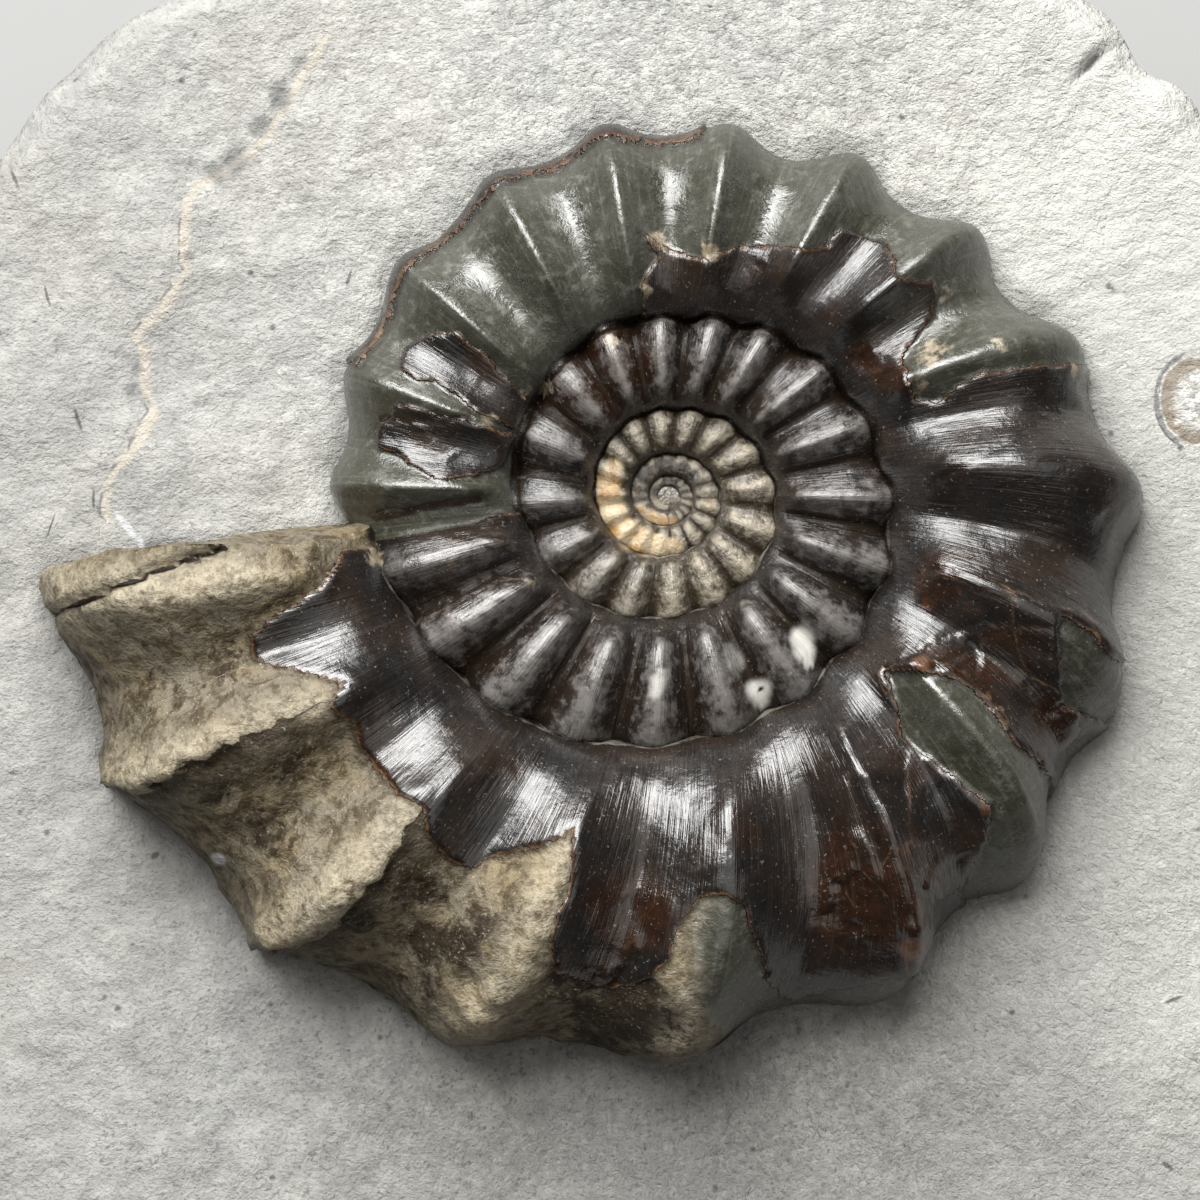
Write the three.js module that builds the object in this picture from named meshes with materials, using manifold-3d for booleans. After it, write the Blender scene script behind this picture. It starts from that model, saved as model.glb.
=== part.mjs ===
// A fossil ammonite of the genus Androgynoceras, lying in the piece of pale limestone that it was found in.
// The shell is a coiled tube whose whorls lie beside each other in one plane, crossed by strong simple ribs.
// Its upper side stands clear of the stone, and its lower side is still in it.
// Millimetres and degrees, +Z up. The origin is under the middle of the stone, on the surface that it rests on.
import * as THREE from 'three';
import { mergeVertices } from 'three/addons/utils/BufferGeometryUtils.js';
import Module from 'manifold-3d';

const wasm = await Module();
wasm.setup();

// Driving dimensions of the ammonite
const coilAxis = { x: 3.45, y: 5.3 }; // where the axis of the coil stands on the stone
const coilPlane = 20.6; // height of the plane that halves the shell
const mouthAngle = 187; // where the shell ends, counted anticlockwise from +X
const turns = 4; // turns of shell, from the mouth in to the first chamber
const growth = 2.04; // how many times larger the coil gets in one turn
const wrap = 1.067; // radius of a whorl over the radius of the seam that covers its outer edge
const thickness = 1.0; // thickness of a whorl over its height
const seamDepth = 1.944; // height of a whorl above its seam over half of its full height
const ribHeight = 0.058; // height of a rib over its distance from the axis
const buried = 4.0; // depth to which the shell goes down below its middle plane

// Radius of the outer edge between the ribs, over the first turn in from the mouth
const outerEdge = [
  [187, 31.1], [201, 31.0], [218, 30.2], [238, 29.3], [259, 28.3], [280, 27.0], [302, 25.8], [324, 24.6],
  [346, 23.2], [371, 22.1], [392, 20.0], [411, 19.2], [432, 18.4], [451, 18.3], [470, 18.0], [490, 17.5],
  [529, 16.7], [547, 16.35],
];

// Radius of the seam between a whorl and the next one in, over the same turn
const seamEdge = [
  [187, 15.3], [200, 14.7], [230, 13.9], [270, 12.7], [300, 12.3], [345, 11.7], [380, 10.75], [410, 10.05],
  [440, 9.15], [470, 8.95], [500, 8.25], [530, 7.75], [547, 7.5],
];

// The angle of each rib's crest at the outer edge on the first turn, and half way up the whorl further in
const ribAngles = [
  168, 189.5, 207.3, 227.3, 248, 270.1, 293, 313.2, 335.5, 360, 380.4, 400.4, 420.8, 440.4, 459.6, 478.8, 499.1,
  519, 538.5, 556, 572.7, 591.7, 608.3, 627.8, 645, 664.5, 683, 701.3, 719.5, 740.3, 759.5, 779, 795.5, 812.5,
  831, 850.5, 876, 902.5, 927, 950, 971, 993, 1015, 1037, 1060, 1086, 1109, 1132, 1154, 1175, 1197, 1217, 1236,
  1258,
];
const innerRibSpacing = 21; // degrees between the ribs further in than those

// How many degrees a rib leans back from the mouth on its way in from the outer edge to the seam
const ribLean = [[187, 0], [207, 4], [230, 6], [270, 8], [342, 8], [363, 6], [384, 5], [403, 4], [421, 1], [441, 0]];

// Height of the ribs beside the usual height, by angle: they are strongest on the last turn and fade further in
const ribStrength = [
  [187, 0.8], [227, 0.85], [270, 1.2], [300, 1.45], [360, 1.6], [410, 1.7], [440, 1.4], [480, 1.1], [547, 1.0],
  [900, 1.0], [1260, 0.8], [1600, 0],
];

// Depth of the hollows between the ribs over half of the whorl's height, by angle
const hollows = [[187, 0.15], [290, 0.13], [360, 0.12], [545, 0.12], [560, 0.14], [900, 0.12], [1260, 0.06], [1500, 0]];

// Where the columns of points stand in each rib's stretch, and how many rows of points each turn has
const columnPlaces = [0, 0.13, 0.28, 0.5, 0.72, 0.87];
const rowsOfTurn = [11, 8, 6, 4];

// Driving dimensions of the stone
const stoneTop = 19.4; // height of its upper face in the middle
const topFall = { x: 0.02, y: 0.016 }; // how much that face rises for each millimetre to the right and to the back
const topSwell = 0.35; // height of the gentle waves of that face
const edgeFall = 0.25; // how far that face has fallen at its edge
const fit = 0.35; // gap between a shell and the stone around it
const outlineSteps = 72;

// Outline of the stone as seen from above, as points that a smooth closed curve passes through
const stoneOutline = [
  [-37.2, -2], [-36.3, 9], [-34.2, 17.5], [-30.9, 23.7], [-27.8, 27.5], [-23.2, 30.9], [-13, 34.1], [1, 35.8],
  [13, 34.4], [21.5, 32.8], [26, 30.9], [28.3, 27.6], [30.9, 26], [35.2, 18], [37.2, 8], [36.4, -5], [37.1, -17],
  [36, -29.6], [30, -34.4], [14, -35.2], [-3, -35.9], [-18, -35.2], [-30, -34.5], [-35.7, -30], [-36.8, -16],
];

// Rings round the stone below its upper edge: size beside the outline, and height beside that of the upper face
const sideRings = [[1, 0.93], [0.995, 0.72], [0.98, 0.48], [0.95, 0.22], [0.91, 0.05], [0.86, 0]];
const topRings = [0.25, 0.5, 0.72, 0.87, 0.975];

// Driving dimensions of the second shell, of which a little shows at the right of the stone
const smallShell = { x: 31.2, y: 10.3, radius: 2.8, depth: 2.2, above: 0.45, steps: 30 };

const radians = THREE.MathUtils.degToRad;

/** Value at x of a table of [x, value] rows, joined by straight lines. */
function lookUp(table, x) {
  const last = table.length - 1;
  if (x <= table[0][0]) return table[0][1];
  if (x >= table[last][0]) return table[last][1];
  const row = table.findIndex(([angle]) => angle > x);
  const [x0, y0] = table[row - 1];
  const [x1, y1] = table[row];
  return THREE.MathUtils.lerp(y0, y1, (x - x0) / (x1 - x0));
}

/** Radius of the seam on the inner side of the whorl. Each turn in repeats the one outside it at a smaller scale. */
function seamRadius(angle) {
  const turnsIn = Math.max(0, Math.floor((angle - mouthAngle) / 360));
  return lookUp(seamEdge, angle - 360 * turnsIn) / growth ** turnsIn;
}

/** Radius of the outer edge of the whorl. Past the first turn it is covered by the whorl outside it. */
function outerRadius(angle) {
  return angle < mouthAngle + 360 ? lookUp(outerEdge, angle) : seamRadius(angle - 360) * wrap;
}

/** Angles of all ribs, with those of the innermost turn added at an even spacing. */
function allRibs() {
  const angles = [...ribAngles];
  while (angles.at(-1) < mouthAngle + 360 * (turns + 1)) angles.push(angles.at(-1) + innerRibSpacing);
  return angles;
}
const ribs = allRibs();

/** Number of ribs from the first crest to an angle, with the part of a rib's stretch that is left over. */
function phaseAt(angle) {
  const rib = ribs.findIndex((crest) => crest > angle) - 1;
  return rib + (angle - ribs[rib]) / (ribs[rib + 1] - ribs[rib]);
}

/** Angle that has a phase. */
function angleAt(phase) {
  const rib = Math.floor(phase);
  return THREE.MathUtils.lerp(ribs[rib], ribs[rib + 1], phase - rib);
}

/** Share of a rib's full height at a phase: a ridge with a narrow top and a wide hollow on both sides of it. */
function ribProfile(phase) {
  const away = 2 * Math.abs(phase - Math.round(phase));
  return (1 - away) ** 1.2;
}

/** How much of the rib there is at t round the whorl, which goes from 0 at the outer edge to PI at the inner one. */
function ribCover(t) {
  return THREE.MathUtils.smoothstep(Math.PI * 0.93 - t, 0, Math.PI * 0.3);
}

/** A point of the shell's surface in coil coordinates, at an angle along the coil and t round the whorl. */
function shellPoint(angle, t) {
  const outer = outerRadius(angle);
  const seam = seamRadius(angle);
  const half = (outer - seam) / seamDepth;
  const centre = outer - half;
  const profile = ribProfile(phaseAt(angle));
  const hollow = lookUp(hollows, angle) * half * (1 - profile) * Math.max(Math.sin(t), 0);
  const raised = (ribHeight * centre * lookUp(ribStrength, angle) * profile - hollow) * ribCover(t);
  const wayIn = (outer - centre - half * Math.cos(t)) / (outer - seam);
  const turned = radians(angle + lookUp(ribLean, angle) * wayIn);
  const radius = centre + (half + raised) * Math.cos(t);
  return new THREE.Vector3(
    radius * Math.cos(turned), radius * Math.sin(turned), (half * thickness + raised) * Math.sin(t),
  );
}

/** t of the place on a whorl's surface that lies at a radius. */
function roundAt(angle, radius) {
  const half = (outerRadius(angle) - seamRadius(angle)) / seamDepth;
  return Math.acos((radius - outerRadius(angle) + half) / half);
}

/** Angles of the columns on the first turn, with columns at both of its ends. */
function firstTurnAngles() {
  const start = phaseAt(mouthAngle);
  const end = phaseAt(mouthAngle + 360);
  const phases = [];
  for (let rib = Math.floor(start); rib <= end; rib += 1) {
    phases.push(...columnPlaces.map((place) => rib + place));
  }
  const between = phases.filter((phase) => phase > start + 0.05 && phase < end - 0.05);
  return [mouthAngle, ...between.map(angleAt), mouthAngle + 360];
}

/** Solid from points and triangles. */
function solidOf(positions, triangles) {
  const mesh = { numProp: 3, vertProperties: new Float32Array(positions), triVerts: new Uint32Array(triangles) };
  return new wasm.Manifold(new wasm.Mesh(mesh));
}

/** Solid from a three.js geometry. */
function solidFrom(geometry) {
  const bare = geometry.index ? geometry.toNonIndexed() : geometry.clone();
  bare.deleteAttribute('normal');
  bare.deleteAttribute('uv');
  const merged = mergeVertices(bare, 1e-4);
  return solidOf(merged.attributes.position.array, merged.index.array);
}

/** three.js geometry from points and triangles. */
function geometryOf(positions, triangles) {
  const geometry = new THREE.BufferGeometry();
  geometry.setAttribute('position', new THREE.Float32BufferAttribute(positions, 3));
  geometry.setIndex(Array.from(triangles));
  geometry.computeVertexNormals();
  return geometry;
}

/** Triangles between two lines of points that run side by side, the second anticlockwise from the first. */
function strip(lineA, lineB) {
  const triangles = [];
  let [a, b] = [0, 0];
  while (a + 1 < lineA.length || b + 1 < lineB.length) {
    const nextA = (a + 1) / (lineA.length - 1);
    const nextB = (b + 1) / (lineB.length - 1);
    if (b + 1 < lineB.length && (nextB <= nextA || a + 1 === lineA.length)) {
      triangles.push(lineA[a], lineB[b], lineB[b + 1]);
      b += 1;
    } else {
      triangles.push(lineA[a], lineB[b], lineA[a + 1]);
      a += 1;
    }
  }
  return triangles;
}

/** Triangles that fill a flat outline, given as indices with their places in the plane of the outline. */
function fill(indices, places) {
  const flat = places.map(([u, v]) => new THREE.Vector2(u, v));
  const turn = THREE.ShapeUtils.isClockWise(flat);
  const triangles = [];
  for (const face of THREE.ShapeUtils.triangulateShape(flat, [])) {
    const clockwise = THREE.ShapeUtils.isClockWise(face.map((i) => flat[i]));
    const ordered = clockwise === turn ? face : [face[0], face[2], face[1]];
    triangles.push(...ordered.map((i) => indices[i]));
  }
  return triangles;
}

/** The ammonite: columns of points along the coil, each from the outer edge of its whorl in to the next seam. */
function ammoniteGeometry() {
  const positions = [];
  const triangles = [];
  const add = (point) => positions.push(point.x, point.y, point.z) / 3 - 1;

  // Angles of the columns, where each turn starts from the places in which the one outside it ends
  const angles = firstTurnAngles();
  const perTurn = angles.length - 1;
  for (let column = perTurn + 1; column <= perTurn * turns; column += 1) {
    const outside = angles[column - perTurn];
    angles.push(outside + 360 + lookUp(ribLean, outside));
  }

  const lines = [];
  angles.forEach((angle, column) => {
    const turn = Math.min(Math.floor(column / perTurn), turns - 1);
    const rows = rowsOfTurn[turn];
    const seen = turn === 0 ? 0 : roundAt(angle, seamRadius(angle - 360));
    const end = roundAt(angle, seamRadius(angle));
    const line = [turn === 0 ? add(shellPoint(angle, 0)) : lines[column - perTurn].at(-1)];
    for (let row = 1; row <= rows; row += 1) {
      line.push(add(shellPoint(angle, THREE.MathUtils.lerp(seen, end, row / rows))));
    }
    lines.push(line);
  });

  // The end of the first turn runs on under the shell's mouth
  const underMouth = add(shellPoint(angles[perTurn], 0));
  for (let column = 0; column < perTurn * turns; column += 1) {
    const next = lines[column + 1];
    triangles.push(...strip(lines[column], column + 1 === perTurn ? [underMouth, ...next] : next));
  }

  // Wall round the outer edge down to the buried depth
  const rim = [...lines.slice(0, perTurn).map((line) => line[0]), underMouth];
  const place = (index) => positions.slice(3 * index, 3 * index + 3);
  const foot = rim.map((index) => {
    const [x, y] = place(index);
    return add(new THREE.Vector3(x, y, -buried));
  });
  for (let column = 0; column < perTurn; column += 1) {
    triangles.push(rim[column + 1], rim[column], foot[column]);
    triangles.push(rim[column + 1], foot[column], foot[column + 1]);
  }
  const under = [...foot].reverse();
  triangles.push(...fill(under, under.map((index) => place(index).slice(0, 2))));

  // Wall across the mouth
  const mouth = [...lines[0], underMouth, foot.at(-1), foot[0]];
  triangles.push(...fill(mouth, mouth.map((index) => {
    const [x, y, z] = place(index);
    return [Math.hypot(x, y), z];
  })));

  // The first chamber, in the middle
  const hub = [
    ...lines.slice(perTurn * (turns - 1)).map((line) => line.at(-1)),
    ...lines.at(-1).slice(1, -1).reverse(),
  ];
  const top = add(new THREE.Vector3(0, 0, seamRadius(angles.at(-1)) * thickness));
  hub.forEach((index, step) => triangles.push(index, hub[(step + 1) % hub.length], top));
  return geometryOf(positions, triangles);
}

/** Height of the stone's upper face at a place on it. */
function stoneHeight(x, y) {
  const swell = topSwell * Math.sin(x * 0.13 + 0.6) * Math.cos(y * 0.11 - 0.4);
  return stoneTop + topFall.x * x + topFall.y * y + swell;
}

/** The stone: rings of points from the middle of the upper face, over the edge and down to the flat underside. */
function stoneSolid() {
  const curve = new THREE.CatmullRomCurve3(stoneOutline.map(([x, y]) => new THREE.Vector3(x, y, 0)), true);
  const outline = curve.getSpacedPoints(outlineSteps).slice(0, outlineSteps);
  const centre = new THREE.Box3().setFromPoints(outline).getCenter(new THREE.Vector3());
  const positions = [0, 0, stoneHeight(0, 0)];
  for (const scale of topRings) {
    for (const point of outline) {
      const [x, y] = [(point.x - centre.x) * scale, (point.y - centre.y) * scale];
      positions.push(x, y, stoneHeight(x, y) - edgeFall * scale ** 4);
    }
  }
  sideRings.forEach(([scale, level], ring) => {
    outline.forEach((point, step) => {
      const inner = ring > 0 && level > 0;
      const bumps = inner ? 0.012 * Math.sin(step * 1.7 + ring * 2.1) * Math.cos(step * 0.6) : 0;
      const [x, y] = [(point.x - centre.x) * (scale + bumps), (point.y - centre.y) * (scale + bumps)];
      positions.push(x, y, level * stoneHeight(x, y));
    });
  });
  const rings = topRings.length + sideRings.length;
  const at = (ring, step) => 1 + ring * outlineSteps + (step % outlineSteps);
  const underside = positions.push(0, 0, 0) / 3 - 1;
  const triangles = [];
  for (let step = 0; step < outlineSteps; step += 1) {
    triangles.push(0, at(0, step + 1), at(0, step));
    for (let ring = 0; ring + 1 < rings; ring += 1) {
      triangles.push(at(ring, step), at(ring, step + 1), at(ring + 1, step));
      triangles.push(at(ring, step + 1), at(ring + 1, step + 1), at(ring + 1, step));
    }
    triangles.push(at(rings - 1, step), at(rings - 1, step + 1), underside);
  }
  const solid = solidOf(positions, triangles);
  if (solid.volume() > 0) return solid;
  for (let i = 0; i < triangles.length; i += 3) [triangles[i], triangles[i + 1]] = [triangles[i + 1], triangles[i]];
  return solidOf(positions, triangles);
}

/** The room that the ammonite takes up in the stone: a prism round it with a small gap, in coil coordinates. */
function pocketSolid() {
  const angles = firstTurnAngles();
  const shape = new THREE.Shape();
  angles.forEach((angle, step) => {
    const point = shellPoint(angle, 0);
    const radius = Math.hypot(point.x, point.y) + fit;
    const shift = step === 0 || step === angles.length - 1 ? fit / radius : 0;
    const turned = Math.atan2(point.y, point.x) - shift;
    const place = [radius * Math.cos(turned), radius * Math.sin(turned)];
    if (step === 0) shape.moveTo(...place);
    else shape.lineTo(...place);
  });
  const prism = new THREE.ExtrudeGeometry(shape, { depth: 20, bevelEnabled: false });
  return solidFrom(prism.translate(0, 0, -buried - fit));
}

/** The second shell: a low dome on a round body that goes down into the stone, from the axis round to the axis. */
function smallShellGeometry(grown) {
  const { radius, depth, above, steps } = smallShell;
  const profile = [[0, -depth], [radius * 0.8, -depth], [radius, -depth * 0.5], [radius, 0]];
  if (grown) {
    const room = [[0, -depth - fit], [radius + fit, -depth - fit], [radius + fit, 10], [0, 10]];
    return new THREE.LatheGeometry(room.map(([r, z]) => new THREE.Vector2(r, z)), steps).rotateX(Math.PI / 2);
  }
  profile.push([radius * 0.93, above * 0.75], [radius * 0.6, above], [0, above]);
  return new THREE.LatheGeometry(profile.map(([r, z]) => new THREE.Vector2(r, z)), steps).rotateX(Math.PI / 2);
}

const shellLook = new THREE.MeshStandardMaterial({ color: 0x3a322b, roughness: 0.35, metalness: 0 });
const limestoneLook = new THREE.MeshStandardMaterial({ color: 0xb9b5ab, roughness: 0.9, metalness: 0 });
const smallShellLook = new THREE.MeshStandardMaterial({ color: 0x9a8a7c, roughness: 0.6, metalness: 0 });

const ammonite = new THREE.Mesh(ammoniteGeometry(), shellLook);
ammonite.name = 'ammonite';
ammonite.position.set(coilAxis.x, coilAxis.y, coilPlane);

const shellFragment = new THREE.Mesh(smallShellGeometry(false), smallShellLook);
shellFragment.name = 'shell_fragment';
shellFragment.position.set(smallShell.x, smallShell.y, stoneHeight(smallShell.x, smallShell.y) - 0.1);

const pocket = pocketSolid().translate([coilAxis.x, coilAxis.y, coilPlane]);
const smallPocket = solidFrom(smallShellGeometry(true)).translate(shellFragment.position.toArray());
const stoneMesh = stoneSolid().subtract(pocket).subtract(smallPocket).getMesh();
const stone = new THREE.Mesh(geometryOf(stoneMesh.vertProperties, stoneMesh.triVerts), limestoneLook);
stone.name = 'limestone_matrix';

const specimen = new THREE.Group();
specimen.add(stone, ammonite, shellFragment);

export default specimen;
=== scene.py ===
"""A fossil ammonite, half prepared out of the slab of pale limestone that holds it.

Run as a script, this builds the whole model. Lengths in the tables are millimetres and angles are
degrees, counted anticlockwise from the right of the coil's axis, and on past 360 into the inner turns.
"""

import math

import bpy
import numpy as np
from bpy.props import FloatProperty, FloatVectorProperty, PointerProperty
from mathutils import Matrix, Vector


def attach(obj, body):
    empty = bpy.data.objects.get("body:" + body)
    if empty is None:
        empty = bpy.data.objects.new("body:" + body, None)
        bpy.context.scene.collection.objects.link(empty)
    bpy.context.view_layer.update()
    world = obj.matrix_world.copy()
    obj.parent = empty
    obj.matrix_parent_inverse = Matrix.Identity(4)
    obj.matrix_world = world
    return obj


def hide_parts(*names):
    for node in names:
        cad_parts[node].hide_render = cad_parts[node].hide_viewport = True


bl_info = {
    "name": "Fossil Ammonite on Limestone",
    "version": (1, 0, 0),
    "blender": (4, 5, 0),
    "location": "View3D > Sidebar > Fossil",
    "description": "Builds a ribbed fossil ammonite in its slab of limestone",
    "category": "Add Mesh",
}

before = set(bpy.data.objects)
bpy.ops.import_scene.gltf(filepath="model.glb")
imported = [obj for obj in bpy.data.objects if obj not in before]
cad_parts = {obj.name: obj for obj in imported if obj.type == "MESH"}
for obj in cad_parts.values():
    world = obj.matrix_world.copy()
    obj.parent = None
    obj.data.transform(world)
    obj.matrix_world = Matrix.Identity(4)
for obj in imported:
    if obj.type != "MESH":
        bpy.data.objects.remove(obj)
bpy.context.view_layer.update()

MM = 0.001

# The coil
COIL_AXIS = (3.45, 5.3, 20.6)
MOUTH = 187.0
TURNS = 5.25
GROWTH = 2.04
WRAP = 1.067
SEAM_DEPTH = 1.944
RIB_HEIGHT = 0.058
CRENULATION = 0.03
BURIED = 4.0
FLATNESS = 0.24
TOP_LIMIT = 9.36

OUTER_EDGE = [
    (150, 32.2), (187, 31.1), (201, 31.0), (218, 30.2), (238, 29.3), (259, 28.3), (280, 27.0), (302, 25.8),
    (324, 24.6), (346, 23.2), (371, 22.1), (392, 20.0), (411, 19.2), (432, 18.4), (451, 18.3), (470, 18.0),
    (490, 17.5), (529, 16.7), (547, 16.35),
]
SEAM_EDGE = [
    (187, 15.3), (200, 14.7), (230, 13.9), (270, 12.7), (300, 12.3), (345, 11.7), (380, 10.75), (410, 10.05),
    (440, 9.15), (470, 8.95), (500, 8.25), (530, 7.75), (547, 7.5),
]
RIBS = [
    150, 170, 189.5, 207.3, 227.3, 248, 270.1, 293, 313.2, 335.5, 360, 380.4, 400.4, 420.8, 440.4, 459.6, 478.8,
    499.1, 519, 538.5, 556, 572.7, 590.7, 609, 627.4, 645, 664.5, 683, 701.3, 719.5, 740.3, 759.5, 779, 795.5,
    812.5, 831, 850.5, 876, 902.5, 927, 950, 971, 993, 1015, 1037, 1060, 1086, 1109, 1132, 1154, 1175, 1197,
    1217, 1236, 1258, 1280, 1301, 1322, 1343, 1364, 1385, 1406, 1427, 1448, 1469, 1490, 1511, 1532, 1553, 1574,
    1595, 1616, 1637, 1658, 1679, 1700, 1721, 1742, 1763, 1784, 1805, 1826, 1847, 1868, 1889, 1910,
]
RIB_EARLY = [(187, 0.9), (290, 1.1), (360, 1.2), (400, 1.7), (545, 1.7), (560, 1.0), (900, 1.0)]
RIB_LATE = [(187, 1.7), (260, 1.5), (282, 1.4), (293, 2.1), (313, 1.6), (336, 1.2), (360, 1.2), (400, 1.8), (545, 1.8), (560, 1.1), (900, 1.1)]
RIB_ROUNDING = [(187, 0.12), (270, 0.14), (290, 0.07), (315, 0.09), (335, 0.16), (360, 0.2), (420, 0.1), (545, 0.1), (560, 0.3), (590, 0.4), (675, 0.4), (700, 0.1), (765, 0.08), (790, 0.25), (900, 0.25), (1260, 0.3)]
VALLEY = [(187, 0.17), (290, 0.15), (360, 0.13), (440, 0.15), (545, 0.13), (560, 0.17), (900, 0.2), (1260, 0.16),
          (1500, 0.06), (1700, 0)]
RIB_LEAN = [
    (187, 3), (207, 5), (227, 6), (248, 7.5), (270, 9), (293, 16), (313, 14), (335, 12), (360, 7), (380, 6.3),
    (400, 4.9), (421, 1), (441, 0),
]
RIB_STRENGTH = [
    (187, 0.8), (227, 0.9), (270, 1.2), (295, 1.75), (315, 1.6), (360, 1.6), (410, 1.7), (440, 1.4), (480, 1.1), (547, 1.25),
    (580, 1.6), (900, 1.7), (1260, 1.2), (1400, 0.6), (1500, 0.3), (1700, 0),
]

# Where the shell has flaked off the mould, as outlines of (angle, distance from the axis)
BARE_CHAMBER = [
    (184, 16.4), (188.6, 16.6), (191.5, 17.1), (195, 18.2), (197.2, 20.6), (199, 22.3), (201.8, 22.6),
    (203.5, 21.9), (205.8, 20.9), (207.5, 20.1), (210.4, 19.2), (212.7, 20.1), (216.7, 19.8), (219.6, 20.3),
    (224, 20.4), (229.4, 20.7), (232.8, 20.3), (235, 21.1), (239.7, 21.6), (242.6, 21.6), (244.3, 20.3),
    (248.9, 19.5), (252.3, 18.6), (254, 17.7), (255.8, 20.6), (255.2, 23.2), (256.9, 24.8), (262.7, 25.3),
    (267.8, 24.5), (270, 23.2), (271.8, 21.4), (275.3, 20.3), (277.6, 20.4), (279.9, 21.1), (281, 22.5),
    (281.6, 25.1), (283.3, 26.5), (290.2, 26.6), (296, 27.3), (297.7, 27.6), (300, 26.4), (304, 30),
    (290, 35), (240, 40), (200, 40), (180, 36),
]
BARE_WINDOW = [
    (304.5, 30), (306.3, 25.3), (309.7, 24.3), (315.5, 23.1), (316, 22.5), (314.9, 19.8), (313.7, 17.4),
    (320.6, 14.5), (325.8, 16.1), (327.5, 18.2), (325.2, 20.3), (324, 22.5), (323.5, 24.3), (320.6, 25.3),
    (322, 30),
]
SMALL_BARE_WINDOW = [
    (333.8, 22.1), (331.5, 22.5), (332.7, 24.8), (332, 30), (341, 30), (339.6, 24), (341.9, 22.5), (342.4, 20.7),
]
BARE_TURN = [
    (376.5, 30), (377, 22.7), (377.8, 21.6), (378.4, 20.6), (380, 18.2), (381.2, 17.1), (380.7, 15.9),
    (379, 14.5), (381, 13.5), (384.7, 13.5), (390.4, 13.8), (394.4, 16.1), (396.7, 17.1), (399, 17.4),
    (400.7, 16.6), (404.2, 15.9), (406, 16.6), (409.4, 16.9), (411.7, 16.5), (416.8, 16.1), (417.4, 15),
    (419.7, 14.4), (424.3, 14), (431.2, 13.5), (435.8, 13.1), (440.4, 12.2), (445, 12.2), (449.5, 12.4),
    (456.4, 13.5), (451.8, 12.2), (455.3, 11.4), (457.6, 10.3), (457, 8.5), (470, 7), (500, 7), (545, 6.5),
    (550, 12), (550, 19), (545, 26), (500, 28), (440, 28), (400, 28),
]
SHELL_ISLANDS = [
    [
        (502.4, 13.5), (505.8, 14.5), (510.4, 15.3), (514.4, 14.9), (515.5, 14), (513.9, 13), (514.4, 11.9),
        (517.3, 10.6), (516, 8.8), (505.8, 8.8), (504, 10.4), (502.4, 11.9),
    ],
    [
        (521.3, 12.9), (521.9, 14.5), (526.5, 15), (529.9, 14.8), (532.2, 13.5), (534.5, 12.6), (536.3, 11.9),
        (534.5, 10), (530, 8.6), (519, 8.6), (520, 10.5),
    ],
]
RIM_OF_SHELL = (444, 517, 0.4)

# Flakes of shell that lie a little above their neighbours, and the lip round the mouth
FLAKES = [
    [
        (313.4, 17.7), (315.5, 19.1), (316.6, 20.7), (316.8, 22), (315, 23), (313.5, 22.9), (312.4, 23.7),
        (310.1, 24.5), (309.9, 23.5), (306.8, 23.1), (306, 22), (304, 21.2), (307.1, 20.2), (309.9, 18.8),
    ],
    [(342.7, 18.1), (344, 20.5), (340.4, 21), (333, 22.4), (333.1, 21.1), (333.7, 20), (338.5, 18.6)],
    [
        (342.9, 14.2), (345.3, 15.6), (344.6, 17.6), (343.7, 19.6), (344.2, 21.6), (342.5, 23.5), (340, 24.5),
        (340.7, 23.5), (342.2, 21.5), (342.5, 20.3), (342.7, 17.7), (342.7, 15.7),
    ],
    [
        (305.9, 18.1), (306.5, 18.9), (304.6, 21), (302.8, 23.1), (301.4, 25), (299.9, 26.6), (297.8, 27.6),
        (296.5, 26.8), (297.9, 25.2), (298.3, 23.2), (297, 21.6), (297.7, 19.5), (297.4, 18.7), (299.8, 20.2),
        (299.9, 21.6), (302.4, 20.8), (304, 19.4),
    ],
    [
        (319.8, 14.1), (324.2, 14.7), (327.3, 15.6), (328.7, 17), (328.5, 18.8), (326.8, 20.3), (324.6, 21.2),
        (323.7, 22.8), (323, 22.4), (323.5, 21.1), (327, 19.5), (327.2, 17.9), (326.1, 16.4), (322.4, 15.4),
        (318.8, 15.4), (316.9, 15.2),
    ],
    [(187.5, 13.8), (189, 13.6), (191, 12.2), (193.4, 11), (198, 9.2), (196, 8.6), (189, 11), (186, 13)],
    [(196.5, 11.6), (200.6, 10.9), (204.5, 9.9), (209.4, 8.95), (212.6, 8.6), (214, 9.6), (208, 11.2), (203, 12.4)],
    [(207.8, 14.2), (209.4, 13.6), (210.8, 12.4), (209.6, 11.9), (207, 12.6), (206.5, 13.9)],
]
FLAKE_HEIGHT = 0.17
PLATES = 520
PLATE_SLOPE = 0.16
MOUTH_LIP = [(180, 34), (191, 32.4), (190.3, 29.5), (189, 26.5), (187.8, 24), (187.2, 22.5), (180, 22)]
LIP_HEIGHT = 0.34

# Broken ledges along the ribs of the bare living chamber
LEDGES = [
    [(207.8, 31.3), (209.7, 30.3), (210.2, 28.5), (209.4, 27.6), (210.1, 26.6), (210.2, 24.5), (210.7, 22.7)],
    [(229.3, 29.8), (231.6, 28.3), (232.4, 26.7), (232.8, 24), (232.4, 21.5)],
]
LEDGE_HEIGHT = 0.8

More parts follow.
